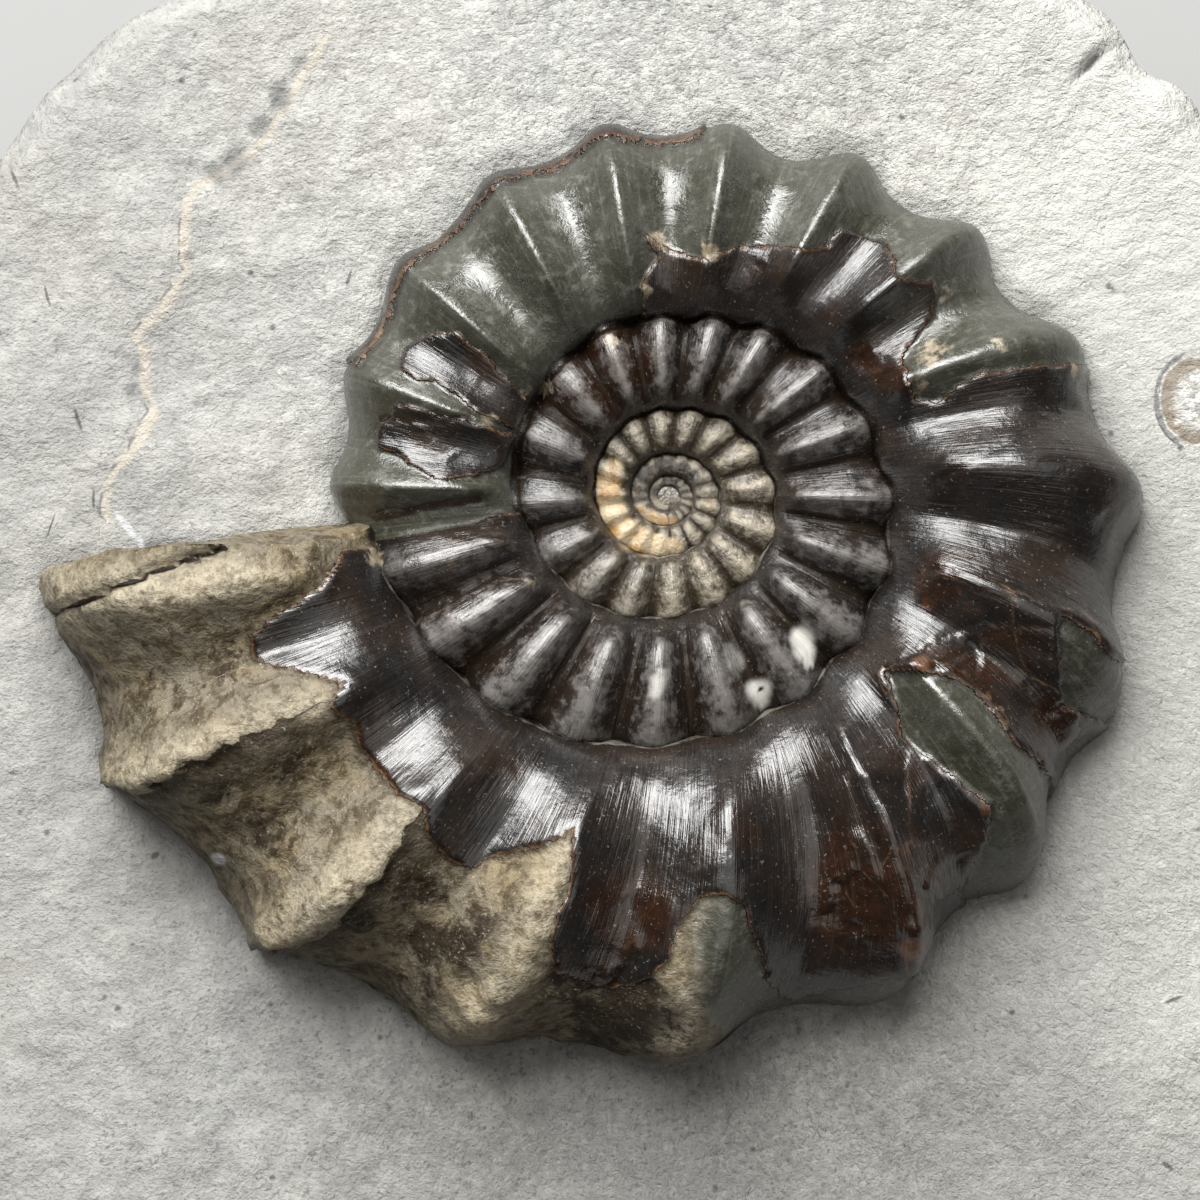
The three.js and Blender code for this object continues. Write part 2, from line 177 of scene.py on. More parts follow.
# Broken lines across the shell, as (angle, distance) points, with their half width; the last two wide rows are no
# cracks but painted shadow bands in the grooves under broken shell edges
CRACKS_AND_SHADOW_BANDS = [
    ([(191, 32), (190.3, 29.5), (189, 26.5), (187.8, 24), (187.2, 22.5)], 0.14),
    ([(186, 11.3), (190, 11.3), (198, 9.3)], 0.07),
    ([(201, 10.8), (206.5, 10.2), (212, 8.5)], 0.07),
    ([(193.5, 14.3), (192.5, 12.8), (195.5, 11.6)], 0.05),
    ([(210, 14), (206, 12.4), (208, 11.6)], 0.05),
    ([(299.5, 22), (300.5, 19), (304, 16)], 0.05),
    ([(325.8, 16.1), (333, 17.4), (333.8, 22.1)], 0.06),
    ([(320.6, 14.5), (330, 15.2), (338, 17.4), (341, 21)], 0.06),
    ([(362, 13.5), (368, 17), (372.5, 21)], 0.05),
    ([(274, 19.6), (278.5, 19.8), (284, 19.2)], 0.05),
    ([(165, 15.1), (163, 13), (159.5, 10.8)], 0.2),
    ([(184.7, 15.1), (182.8, 12), (181.5, 9.6)], 0.2),
]

# Coloured areas, as (angle, distance, radius, strength)
RED_BROWN = [
    (299, 22.5, 4.2, 1.0), (311, 18, 3.2, 0.8), (326, 17.5, 3, 0.9), (334, 19, 2.6, 0.8), (330, 22.5, 1.8, 0.7),
    (281, 17.5, 1.8, 0.5), (264, 21.5, 3, 0.6), (262, 24.3, 1.6, 0.6), (392, 13, 2.2, 0.5), (447, 11.8, 1.8, 1.0),
    (430, 12.2, 2, 0.5), (505, 11.5, 1.6, 0.9), (526, 12.2, 1.7, 0.6), (466, 8, 3, 0.8), (490, 6.8, 2.2, 0.8),
    (440, 6.8, 2.6, 0.5), (275, 11, 1.6, 0.5), (300, 10.4, 1.6, 0.6), (252, 9.5, 1.6, 0.5), (355, 22.8, 1.8, 0.6),
    (222, 12, 1.8, 0.5), (236, 15, 1.6, 0.25), (351, 19, 2.2, 0.35), (342, 15, 2.2, 0.6),
]
CREAM = [
    (388, 15.2, 1.1, 0.9), (384, 18.5, 0.7, 0.8), (396, 17.4, 0.7, 0.7), (383, 14, 0.7, 0.7), (377, 21.6, 0.6, 0.8),
    (440, 12.6, 0.7, 0.9), (452, 12.8, 0.8, 0.9), (456, 10.6, 0.5, 0.8), (298.2, 26.3, 0.42, 1.2),
    (504, 9.2, 0.6, 0.8), (518, 10, 0.6, 0.8), (512, 8.4, 0.5, 0.7), (192, 15.3, 0.9, 0.9), (187, 16.5, 0.9, 0.9),
    (262, 15.3, 0.35, 0.8), (254, 20, 0.5, 0.7), (407, 16.4, 0.6, 0.7), (320, 14.3, 0.5, 0.6),
    (281, 25, 0.4, 0.7), (218.9, 29.6, 0.3, 1.0), (212, 8.4, 0.45, 0.8), (327, 20, 0.35, 0.7), (470, 8.3, 0.6, 0.8), (498, 8.2, 0.7, 0.7),
]
CALCITE = [
    (313, 10.0, 0.72, 1.0), (311.4, 10.5, 0.62, 1.0), (310, 11.1, 0.36, 0.9), (295, 10.95, 0.72, 1.0),
    (294.2, 11.4, 0.5, 0.8), (292, 9.2, 0.65, 0.45), (291, 8.6, 0.5, 0.4), (267, 9.6, 0.55, 0.65),
    (266.4, 10.1, 0.5, 0.65), (268.6, 9.2, 0.4, 0.5),
]
CALCITE_HOLE = (295.3, 10.9, 0.06)
DARK_STAINS = [
    (263, 27, 2.4, 1.0), (258, 25, 1.6, 0.8), (247, 24.5, 2.2, 0.8), (235, 24, 1.6, 0.7), (214, 23.5, 1.8, 0.8),
    (221, 26.5, 1.6, 0.7), (203, 26.5, 1.6, 0.4), (243, 28, 1.6, 0.6), (230, 28, 1.4, 0.5), (196, 20.5, 1.4, 0.4),
    (266, 26, 2.2, 1.3), (270, 27.5, 2.0, 1.2), (274, 26, 1.3, 0.9), (213, 27.5, 1.2, 0.9), (211.5, 24, 1.0, 0.9),
    (234, 26.5, 1.0, 0.7), (201, 24, 1.3, 0.6), (242, 26, 1.6, 1.0), (239, 23.5, 1.2, 0.8), (252, 26.5, 1.2, 0.8), (199.5, 28, 1.0, 0.5), (256.5, 21.5, 0.8, 0.7),
]
GOLD = [
    (150, 3.1, 0.6, 0.6), (165, 3.1, 0.8, 0.9), (182, 3.0, 0.8, 1.0), (198, 2.9, 0.8, 1.0), (213, 2.9, 0.9, 1.0),
    (229, 2.8, 0.9, 1.1), (245, 2.7, 0.8, 1.1), (262, 2.6, 0.7, 1.0), (278, 2.6, 0.6, 0.7), (205, 1.5, 0.4, 0.7),
    (232, 1.35, 0.42, 1.1), (258, 1.3, 0.42, 1.1), (285, 1.3, 0.35, 0.8), (350, 2.2, 0.5, 0.4),
    (298.2, 25.8, 0.8, 1.1), (301.3, 24, 0.7, 0.6), (303.4, 21.6, 0.7, 0.5),
    (326, 15.6, 0.6, 0.8), (323, 22.3, 0.6, 0.7), (315.4, 22.4, 0.6, 0.7), (337, 14.6, 0.6, 0.6),
    (311, 21.5, 0.9, 0.45), (340, 16.6, 0.8, 0.45), (384, 14.2, 0.6, 0.8), (391, 14.4, 0.5, 0.6),
]
# Painted shade, in dark brown, on the upper side of the innermost rings and round the first chamber, as (angle,
# distance, radius, strength)
HEART_SHADE = [
    (140, 1.8, 0.5, 0.9), (98, 1.65, 0.5, 0.9), (60, 1.6, 0.45, 0.8), (34, 1.65, 0.45, 0.7), (185, 1.4, 0.4, 0.6),
    (80, 0.8, 0.5, 0.8), (150, 0.7, 0.4, 0.7), (10, 0.9, 0.35, 0.6), (0, 0.2, 0.4, 0.35),
]
CHAMBER_WALLS = [431, 438, 452, 468, 484, 497]

# The slab
STONE_TOP = 19.4
TOP_FALL = (0.02, 0.016)
TOP_SWELL = 0.35
EDGE_FALL = 0.25
STONE_OUTLINE = [
    (-37.2, -2), (-36.3, 9), (-34.2, 17.5), (-30.9, 23.7), (-27.8, 27.5), (-23.2, 30.9), (-13, 34.1), (1, 35.8),
    (13, 34.4), (21.5, 32.8), (26, 30.9), (28.3, 27.6), (30.9, 26), (35.2, 18), (37.2, 8), (36.4, -5),
    (37.1, -17), (36, -29.6), (30, -34.4), (14, -35.2), (-3, -35.9), (-18, -35.2), (-30, -34.5), (-35.7, -30),
    (-36.8, -16),
]
SIDE_RINGS = [(1, 0.93), (0.995, 0.72), (0.98, 0.48), (0.95, 0.22), (0.91, 0.05), (0.86, 0)]
VEIN = [
    (-14.2, 28.8), (-15.4, 26.8), (-17, 24.2), (-18.8, 22.4), (-20.6, 21.6), (-21.4, 20.6), (-21.4, 17),
    (-22.7, 14.9), (-23.8, 13.9), (-23.4, 10.8), (-22.9, 9.8), (-24.2, 7.7), (-25.3, 6.2), (-25.6, 4.4),
]
SLAB_CRACK = [(24.6, 27), (25.8, 28.2), (27.4, 29)]
VEIN_STAINS = [
    (-15.5, 27.8, 0.5), (-16.5, 26, 0.7), (-17.6, 24.4, 0.6), (-18.9, 22.7, 0.65), (-19.9, 22.1, 0.6),
    (-21.3, 17.8, 0.3), (-24.2, 10.9, 0.35), (-23.9, 12.0, 0.3),
]
# Short strokes on the stone, as (x, y, half length, half width, turn)
DARK_STROKES = [
    (-30.2, 21.9, 0.55, 0.11, 115), (-28.5, 15.8, 0.6, 0.08, 105), (-26.9, 9.4, 0.7, 0.1, 108),
    (-26.1, 5.3, 0.6, 0.08, 92), (-12.9, 16.7, 0.5, 0.09, 72), (-28.3, 3.9, 0.7, 0.05, 70),
    (29.3, -29.1, 0.35, 0.12, -35), (29.6, -20.5, 0.6, 0.1, 20), (-22.9, -13.1, 0.25, 0.16, 30),
]
PALE_STROKES = [(-24.4, 3.9, 1.0, 0.2, -52), (-23.6, 2.9, 0.5, 0.16, -75)]
WHITE_CHIP = (-19.5, -13.3, 0.42, 0.3, -25)

# The second small shell
SMALL_SHELL = (31.2, 10.3, 2.8)


def smooth_step(x, low, high):
    """0 below low, 1 above high and a smooth ramp between them."""
    u = np.clip((x - low) / (high - low), 0.0, 1.0)
    return u * u * (3.0 - 2.0 * u)


def follow(rows, x):
    """Value at x of a table of (x, value) rows."""
    table = np.array(rows, dtype=float)
    return np.interp(x, table[:, 0], table[:, 1])


LATTICE = np.random.default_rng(11).uniform(-1.0, 1.0, (32, 32, 32))


def grain(points, scale, shift=0.0):
    """Smooth random field from -1 to 1, with one bump for each 1/scale of length."""
    p = points * scale + shift
    cell = np.floor(p).astype(int)
    f = p - cell
    f = f * f * (3.0 - 2.0 * f)
    total = 0.0
    for i in (0, 1):
        for j in (0, 1):
            for k in (0, 1):
                weight = (
                    (f[..., 0] if i else 1 - f[..., 0])
                    * (f[..., 1] if j else 1 - f[..., 1])
                    * (f[..., 2] if k else 1 - f[..., 2])
                )
                corner = cell + np.array((i, j, k))
                total = total + weight * LATTICE[corner[..., 0] % 32, corner[..., 1] % 32, corner[..., 2] % 32]
    return total


def polar(rows):
    """Points (x, y) of (angle, distance) rows."""
    table = np.array(rows, dtype=float)
    a = np.radians(table[:, 0])
    return np.stack([table[:, 1] * np.cos(a), table[:, 1] * np.sin(a)], axis=-1)


def distance_to_line(points, line, closed=False):
    """Distance of points (x, y) to a line of points."""
    ends = np.roll(line, -1, axis=0) if closed else line[1:]
    starts = line if closed else line[:-1]
    best = np.full(points.shape[:-1], 1e9)
    for a, b in zip(starts, ends):
        ab = b - a
        u = np.clip(((points - a) @ ab) / max(ab @ ab, 1e-12), 0.0, 1.0)
        best = np.minimum(best, np.hypot(points[..., 0] - a[0] - u * ab[0], points[..., 1] - a[1] - u * ab[1]))
    return best


def across_line(points, line):
    """Distance of points (x, y) to a line of points, negative on its left as one walks along it."""
    best = np.full(points.shape[:-1], 1e9)
    for a, b in zip(line[:-1], line[1:]):
        ab = b - a
        u = np.clip(((points - a) @ ab) / (ab @ ab), 0.0, 1.0)
        off = points - a - u[..., None] * ab
        side = np.sign(ab[1] * off[..., 0] - ab[0] * off[..., 1])
        distance = np.hypot(off[..., 0], off[..., 1])
        best = np.where(distance < np.abs(best), distance * side, best)
    return best


def depth_inside(points, outline):
    """How far points (x, y) are inside an outline, negative outside."""
    inside = np.zeros(points.shape[:-1], dtype=bool)
    x, y = points[..., 0], points[..., 1]
    for a, b in zip(outline, np.roll(outline, -1, axis=0)):
        if a[1] == b[1]:
            continue
        crosses = (a[1] > y) != (b[1] > y)
        inside ^= crosses & (x < a[0] + (y - a[1]) * (b[0] - a[0]) / (b[1] - a[1]))
    distance = distance_to_line(points, outline, closed=True)
    return np.where(inside, distance, -distance)


def blobs(points, rows):
    """Largest of the soft round areas of (angle, distance, radius, strength) rows at points (x, y)."""
    best = np.zeros(points.shape[:-1])
    for angle, distance, radius, strength in rows:
        centre = polar([(angle, distance)])[0]
        d = np.hypot(points[..., 0] - centre[0], points[..., 1] - centre[1])
        best = np.maximum(best, strength * (1.0 - smooth_step(d, 0.35 * radius, 1.35 * radius)))
    return best


def broken_plates(points):
    """Height and tone of small tilted plates, each the part of the plane nearest to one random spot."""
    chance = np.random.default_rng(23)
    spots = chance.uniform(-31, 31, (PLATES, 2))
    slopes = chance.uniform(-PLATE_SLOPE, PLATE_SLOPE, (PLATES, 2))
    tones = chance.uniform(0, 1, PLATES)
    bent = points + 0.25 * np.stack([grain(np.dstack([points, points[..., :1] * 0]), 1.2, k) for k in (1.0, 5.0)], axis=-1)
    nearest = np.full(points.shape[:-1], 1e9)
    height, tone = np.zeros(nearest.shape), np.zeros(nearest.shape)
    for spot, slope, value in zip(spots, slopes, tones):
        off = bent - spot
        distance = np.sum(off * off, axis=-1)
        closer = distance < nearest
        nearest = np.where(closer, distance, nearest)
        height = np.where(closer, off @ slope, height)
        tone = np.where(closer, value, tone)
    return height, tone


DENSE = np.arange(120.0, 2300.0, 0.25)


def _seam_raw(a):
    turns_in = np.floor((a - MOUTH) / 360.0)
    return follow(SEAM_EDGE, a - 360.0 * turns_in) / GROWTH**turns_in


def _blur(values, width):
    reach = int(4 * width)
    kernel = np.exp(-0.5 * (np.arange(-reach, reach + 1) / width) ** 2)
    padded = np.pad(values, reach, mode="edge")
    return np.convolve(padded, kernel / kernel.sum(), mode="valid")


SEAM_CURVE = _blur(_seam_raw(DENSE), 16)
OUTER_CURVE = _blur(
    np.where(DENSE < MOUTH + 360, follow(OUTER_EDGE, DENSE), _seam_raw(DENSE - 360.0) * WRAP), 14
)


def seam_shift(a):
    """How far the seam at angle a swings out round the ribs of the turn inside it."""
    count = np.interp(a + 360.0, RIBS, np.arange(len(RIBS)))
    swing = np.cos(2 * np.pi * count) * (0.65 + 0.5 * np.cos(np.radians(a - 10)))
    swing = swing * follow([(187, 1.0), (900, 1.0), (1260, 0.6), (1500, 0)], a)
    return 0.5 * CRENULATION * np.interp(a, DENSE, SEAM_CURVE) * swing


def whorl(a, t, extra=0.0):
    """Points of the shell at angle a along the coil and t round the whorl, with extra added to its thickness.

    Also gives the way in (1 at the outer edge and 0 at the seam), the ribs' count and the ribs' height there.
    """
    seam = np.interp(a, DENSE, SEAM_CURVE)
    outer = np.interp(a, DENSE, OUTER_CURVE)
    half = (outer - seam) / SEAM_DEPTH
    mid = outer - half
    reach = np.sign(np.cos(t)) * np.abs(np.cos(t)) ** 0.92
    rise = np.sign(np.sin(t)) * np.abs(np.sin(t)) ** 0.84
    share = (mid + half * reach - seam) / (outer - seam)
    bend = np.clip(1.0 - share, 0.0, 1.2) ** 0.45
    drawn = a - follow(RIB_LEAN, a) * bend
    count = np.interp(drawn, RIBS, np.arange(len(RIBS)))
    phase = count - np.round(count)
    soft = follow(RIB_ROUNDING, a)
    wave = (np.hypot(1, soft) - np.hypot(2 * phase, soft)) / (np.hypot(1, soft) - soft)
    crest = np.where(phase < 0, wave ** follow(RIB_EARLY, a), wave ** follow(RIB_LATE, a))
    flank = np.clip(np.sin(t), 0, 1) ** 0.7
    round_crest = ((1 + np.cos(2 * np.pi * phase)) / 2) ** 1.3
    crest = round_crest + (crest - round_crest) * smooth_step(flank, 0.2, 0.75)
    fade = smooth_step(share, 0.02, np.interp(a, (187, 500, 560), (0.45, 0.45, 0.3)))
    top = 1.0 - 0.1 * flank * (a < 545)
    raised = RIB_HEIGHT * mid * follow(RIB_STRENGTH, a) * crest * fade * top
    raised = raised - follow(VALLEY, a) * half * (1 - crest) * fade * flank
    radius = mid + (half + raised + extra) * reach
    radius = radius + seam_shift(a) * (1 - smooth_step(share, 0.0, 0.3)) * (np.sin(t) > -0.2)
    height = (half + raised + extra) * rise
    height = np.where(height > TOP_LIMIT - 0.5, TOP_LIMIT - 0.5 * np.exp(-(height - TOP_LIMIT + 0.5) / 0.5), height)
    angle = np.radians(a)
    points = np.stack([radius * np.cos(angle), radius * np.sin(angle), height], axis=-1)
    return points, share, drawn, crest * fade


def shell_fields(points, a, share, drawn, crest, t):
    """Masks of the shell's surface: each is a number for each point."""
    flat = points[..., :2]
    last_turn = a < MOUTH + 362
    ragged = 0.16 * grain(points, 0.9, 3.1) + 0.1 * grain(points, 2.1, 7.7) + 0.05 * grain(points, 4.6, 1.3)
    bare = np.full(a.shape, -9.0)
    for outline in (BARE_CHAMBER, BARE_WINDOW, SMALL_BARE_WINDOW, BARE_TURN):
        bare = np.maximum(bare, depth_inside(flat, polar(outline)))
    for outline in SHELL_ISLANDS:
        bare = np.minimum(bare, -depth_inside(flat, polar(outline)))
    start, end, width = RIM_OF_SHELL
    outline_here = np.interp(a, DENSE, OUTER_CURVE) * (1 + 0.04 * crest)
    from_rim = np.hypot(flat[..., 0], flat[..., 1]) - outline_here + width
    along = np.minimum(a - start, end - a) * 0.3
    bare = np.minimum(bare, -np.minimum(from_rim, along))
    bare = np.where((t < 0.1) & (a > start) & (a < end), np.minimum(bare, -0.5), bare)
    shell = np.where(last_turn, -bare + ragged, 3.0)
    crack = np.full(a.shape, 1.0)
    for line, width in CRACKS_AND_SHADOW_BANDS:
        inner_line = max(r for _, r in line) < 15
        near = distance_to_line(flat, polar(line)) - width
        near = near + 0.05 * grain(points, 3.0, 5.5)
        belongs = ~last_turn if inner_line else last_turn
        crack = np.minimum(crack, np.where(belongs, near, 1.0))
    flake = np.full(a.shape, -9.0)
    for outline in FLAKES:
        inner_flake = max(r for _, r in outline) < 15
        depth = depth_inside(flat, polar(outline)) + 0.6 * ragged
        flake = np.maximum(flake, np.where(~last_turn if inner_flake else last_turn, depth, -9.0))
    ledge = np.full(a.shape, -9.0)
    for line in LEDGES:
        above = 2.0 * ragged - across_line(flat, polar(line))
        near = distance_to_line(flat, polar(line)) < 3.5
        ledge = np.where(near & last_turn, np.where(np.abs(above) < np.abs(ledge), above, ledge), ledge)
    chamber = 1.0 - smooth_step(a + 6 * grain(points, 0.35, 9.0), 270, 280)
    upper = smooth_step(points[..., 2], 0.0, 1.6)
    red = np.clip(blobs(flat, RED_BROWN) + 0.25 * grain(points, 0.5, 2.2), 0, 1)
    cream = blobs(flat, CREAM) * (0.75 + 0.4 * grain(points, 1.6, 4.4)) * upper
    outer_seam = np.interp(a - 360.0, DENSE, SEAM_CURVE) + seam_shift(a - 360.0) - np.hypot(flat[..., 0], flat[..., 1])
    own_seam = share * (np.interp(a, DENSE, OUTER_CURVE) - np.interp(a, DENSE, SEAM_CURVE))
    from_seam = np.where(last_turn, own_seam, np.minimum(np.abs(outer_seam), own_seam))
    scale = np.interp(a, (187, 547, 900, 1300, 1900), (1.0, 1.0, 0.6, 0.35, 0.2))
    lit = smooth_step(-np.sin(np.radians(a - 5)), -0.15, 0.25)
    reach = np.interp(a, (187, 547, 600), (0.3, 0.3, 0.2)) + 0.05 * grain(points, 1.1, 8.8)
    crust = (1 - smooth_step(own_seam / scale, reach, reach + 0.1)) * lit * (0.75 + 0.5 * grain(points, 1.6, 8.8))
    # On the lower half of the coil, whose seams face the key lamp, the seam distance is pushed out so the painted shade
    # along the seam is lighter there
    from_seam = from_seam / scale + 0.12 * lit
    wander = np.stack([grain(points, 1.3, 6.6), grain(points, 1.3, 9.1)], axis=-1) * 0.1
    calcite = np.where(last_turn, 0.0, blobs(flat + wander, CALCITE))
    hole = polar([CALCITE_HOLE[:2]])[0]
    from_hole = np.abs(flat[..., 0] - hole[0]) + 0.7 * np.abs(flat[..., 1] - hole[1])
    calcite = calcite * smooth_step(from_hole, CALCITE_HOLE[2], 0.2)
    # Painted shade: on the upper half of the coil the inner part of each inner turn, whose flank faces away from the
    # key lamp, is darkened; the last turn keeps its real dark stains in the same field
    shaded = (1 - smooth_step(-np.sin(np.radians(a - 10)), -0.7, 0.1)) * (1 - smooth_step(share, 0.35, 0.75))
    stain_and_shade = np.where(last_turn, blobs(flat, DARK_STAINS), 0.55 * shaded + blobs(flat, HEART_SHADE))
    count = np.interp(drawn, RIBS, np.arange(len(RIBS)))
    valley = smooth_step(np.abs(count - np.round(count)), 0.31, 0.46) * (a > 545) * (1 - smooth_step(a, 1350, 1550))
    plate_height, plate_tone = broken_plates(flat)
    return {
        "shell": shell,
        "plate": plate_tone,
        "valley": valley * smooth_step(share, 0.04, 0.2),
        "plate_height": plate_height * last_turn,
        "crack": crack,
        "chamber": chamber,
        "red": red,
        "cream": np.clip(cream, 0, 1),
        "crust": np.clip(crust, 0, 1),
        "calcite": calcite,
        "stain_and_shade": np.clip(stain_and_shade, 0, 1.3),
        "seam": np.clip(from_seam, 0, 9),
        "flake": np.clip(flake, -9, 9),
        "ledge": np.clip(ledge, -9, 9),
        "gold": blobs(flat, GOLD) * np.where(last_turn, upper, 1.0),
        "coil": np.stack([drawn, share * 10.0, a / 100.0], axis=-1),
        "crest": crest,
    }


def relief(points, a, fields, sizes):
    """How far the surface stands out from the plain ribbed tube, in millimetres."""
    shell, crack = fields["shell"], fields["crack"]
    covered = smooth_step(shell, -0.06, 0.1)
    size = np.interp(a, (187, 547, 900, 1300, 1900), (1.0, 0.8, 0.4, 0.2, 0.08))
    out = sizes.shell_thickness * covered * size
    out += sizes.shell_thickness * 0.12 * smooth_step(shell, 0.0, 0.35) * (1 - smooth_step(shell, 0.35, 1.1)) * size
    rough = fields["chamber"] * (1 - covered)
    knobs = 0.5 - np.abs(grain(points, 0.8, 2.0))
    out += rough * (0.3 * grain(points, 0.4, 6.0) + 0.24 * knobs + 0.09 * grain(points, 2.2, 4.0))
    out += rough * 0.35 * fields["crest"] * (0.4 - np.abs(grain(points, 0.6, 9.0)))
    out += (1 - rough) * size * (0.07 * grain(points, 0.5, 1.0) + 0.03 * grain(points, 1.6, 3.0))
    lines = np.stack([fields["coil"][..., 0] * 0.55, fields["coil"][..., 1] * 0.06, points[..., 2] * 0], axis=-1)
    out += covered * size * sizes.growth_lines * grain(lines, 1.0, 0.4)
    out += covered * smooth_step(fields["red"], 0.2, 0.7) * fields.pop("plate_height")
    out += FLAKE_HEIGHT * covered * smooth_step(fields["flake"], -0.05, 0.08)
    step = fields["ledge"]
    out += LEDGE_HEIGHT * fields["chamber"] * smooth_step(step, -0.08, 0.12) * (1 - smooth_step(step, 0.3, 3.2))
    lip = depth_inside(points[..., :2], polar(MOUTH_LIP))
    out += LIP_HEIGHT * smooth_step(lip + 0.2 * grain(points, 1.4, 2.0), 0.0, 0.5) * (a < MOUTH + 20)
    out -= (0.16 + 0.3 * rough) * (1 - smooth_step(crack, -0.02, 0.14)) * size
    out += 0.07 * fields["cream"] * (0.6 + grain(points, 2.2, 0.0)) * size
    out -= 0.32 * size * np.exp(-((fields["seam"] / 0.3) ** 2))
    return out


def add_mesh(name, points, faces, fields, parts=None):
    """Mesh object from points in millimetres, with each field stored on its points."""
    mesh = bpy.data.meshes.new(name)
    mesh.vertices.add(len(points))
    mesh.vertices.foreach_set("co", (np.asarray(points, dtype=np.float32) * MM).ravel())
    sizes = np.array([len(f) for f in faces], dtype=np.int32)
    loops = np.concatenate([np.asarray(f, dtype=np.int32) for f in faces])
    mesh.loops.add(len(loops))
    mesh.loops.foreach_set("vertex_index", loops)
    mesh.polygons.add(len(sizes))
    mesh.polygons.foreach_set("loop_start", np.concatenate([[0], np.cumsum(sizes)[:-1]]).astype(np.int32))
    mesh.polygons.foreach_set("loop_total", sizes)
    mesh.polygons.foreach_set("use_smooth", np.ones(len(sizes), dtype=bool))
    for key, values in fields.items():
        if values.ndim == 2:
            mesh.attributes.new(key, "FLOAT_VECTOR", "POINT").data.foreach_set(
                "vector", values.astype(np.float32).ravel()
            )
        else:
            mesh.attributes.new(key, "FLOAT", "POINT").data.foreach_set("value", values.astype(np.float32).ravel())
    mesh.validate()
    mesh.update()
    made = bpy.data.objects.new(name, mesh)
    bpy.context.scene.collection.objects.link(made)
    return made


def grid_faces(columns, rows, first=0):
    """Four-sided faces of a grid of columns, each a closed ring of rows points."""
    c, r = np.meshgrid(np.arange(columns - 1), np.arange(rows), indexing="ij")
    a = first + c * rows + r
    b = first + c * rows + (r + 1) % rows
    return np.stack([a, a + rows, b + rows, b], axis=-1).reshape(-1, 4)


def tube(a_start, a_end, columns, t_low, t_high, rows, sizes, sink=None):
    """Closed tube along part of the coil, and the fields on its points."""
    share = np.linspace(0.0, 1.0, columns)
    inner = MOUTH + 360 * 1.0
    if a_start > inner - 10:
        lengths = 1.0 / GROWTH ** (share * (a_end - a_start) / 360.0) ** 0.8
        walk = np.concatenate([[0.0], np.cumsum(1.0 / lengths[:-1])])
        a_line = a_start + (a_end - a_start) * (1 - np.flip(walk) / walk[-1])
    else:
        a_line = a_start + (a_end - a_start) * share
    t_fine = np.linspace(t_low, t_high, 400)
    walk = np.cumsum(0.45 + np.clip(np.sin(np.radians(t_fine)), 0, 1))
    walk = (walk - walk[0]) / (walk[-1] - walk[0])
    t_line = np.radians(np.interp(np.linspace(0, 1, rows), walk, t_fine))
    a, t = np.meshgrid(a_line, t_line, indexing="ij")
    if a_start < MOUTH + 20:
        edge = follow(MOUTH_EDGE, np.linspace(31.5, 14.5, rows)[None, :].repeat(columns, 0))
        wobble = (edge - MOUTH) * (1 - smooth_step(a, MOUTH, MOUTH + 9))
        a = a + wobble
    points, way, drawn, crest = whorl(a, t)
    fields = shell_fields(points, a, way, drawn, crest, t)
    extra = relief(points, a, fields, sizes)
    if sink is not None:
        extra = extra - sink(a)
    points = whorl(a, t, extra)[0]
    low = points[:, [-1, 0]].copy()
    low[..., 2] = -BURIED + 0.05
    ring = np.concatenate([points, low], axis=1)
    fields = {k: np.concatenate([v, v[:, [-1, 0]]], axis=1) for k, v in fields.items()}
    return ring, fields


MOUTH_EDGE = [
    (14.8, 184.6), (16.5, 187.7), (19.1, 188.2), (21.5, 187), (24.1, 185.9), (27.3, 186.3), (30.7, 187), (31.9, 189),
]


def end_cap(ring, fields, inward, roughness):
    """Points that close the open end of a tube, in rings that draw in to its middle."""
    centre = ring.mean(axis=0)
    points, values = [], {k: [] for k in fields}
    for step, scale in enumerate((0.94, 0.8, 0.6, 0.38, 0.18)):
        level = centre + (ring - centre) * scale
        push = roughness * (grain(level, 0.5, 3.0) * 1.2 + 0.5 * grain(level, 1.3, 1.0) - 0.6 * (1 - scale))
        points.append(level - inward * push[:, None])
        for key, value in fields.items():
            values[key].append(value)
    return points, centre, values


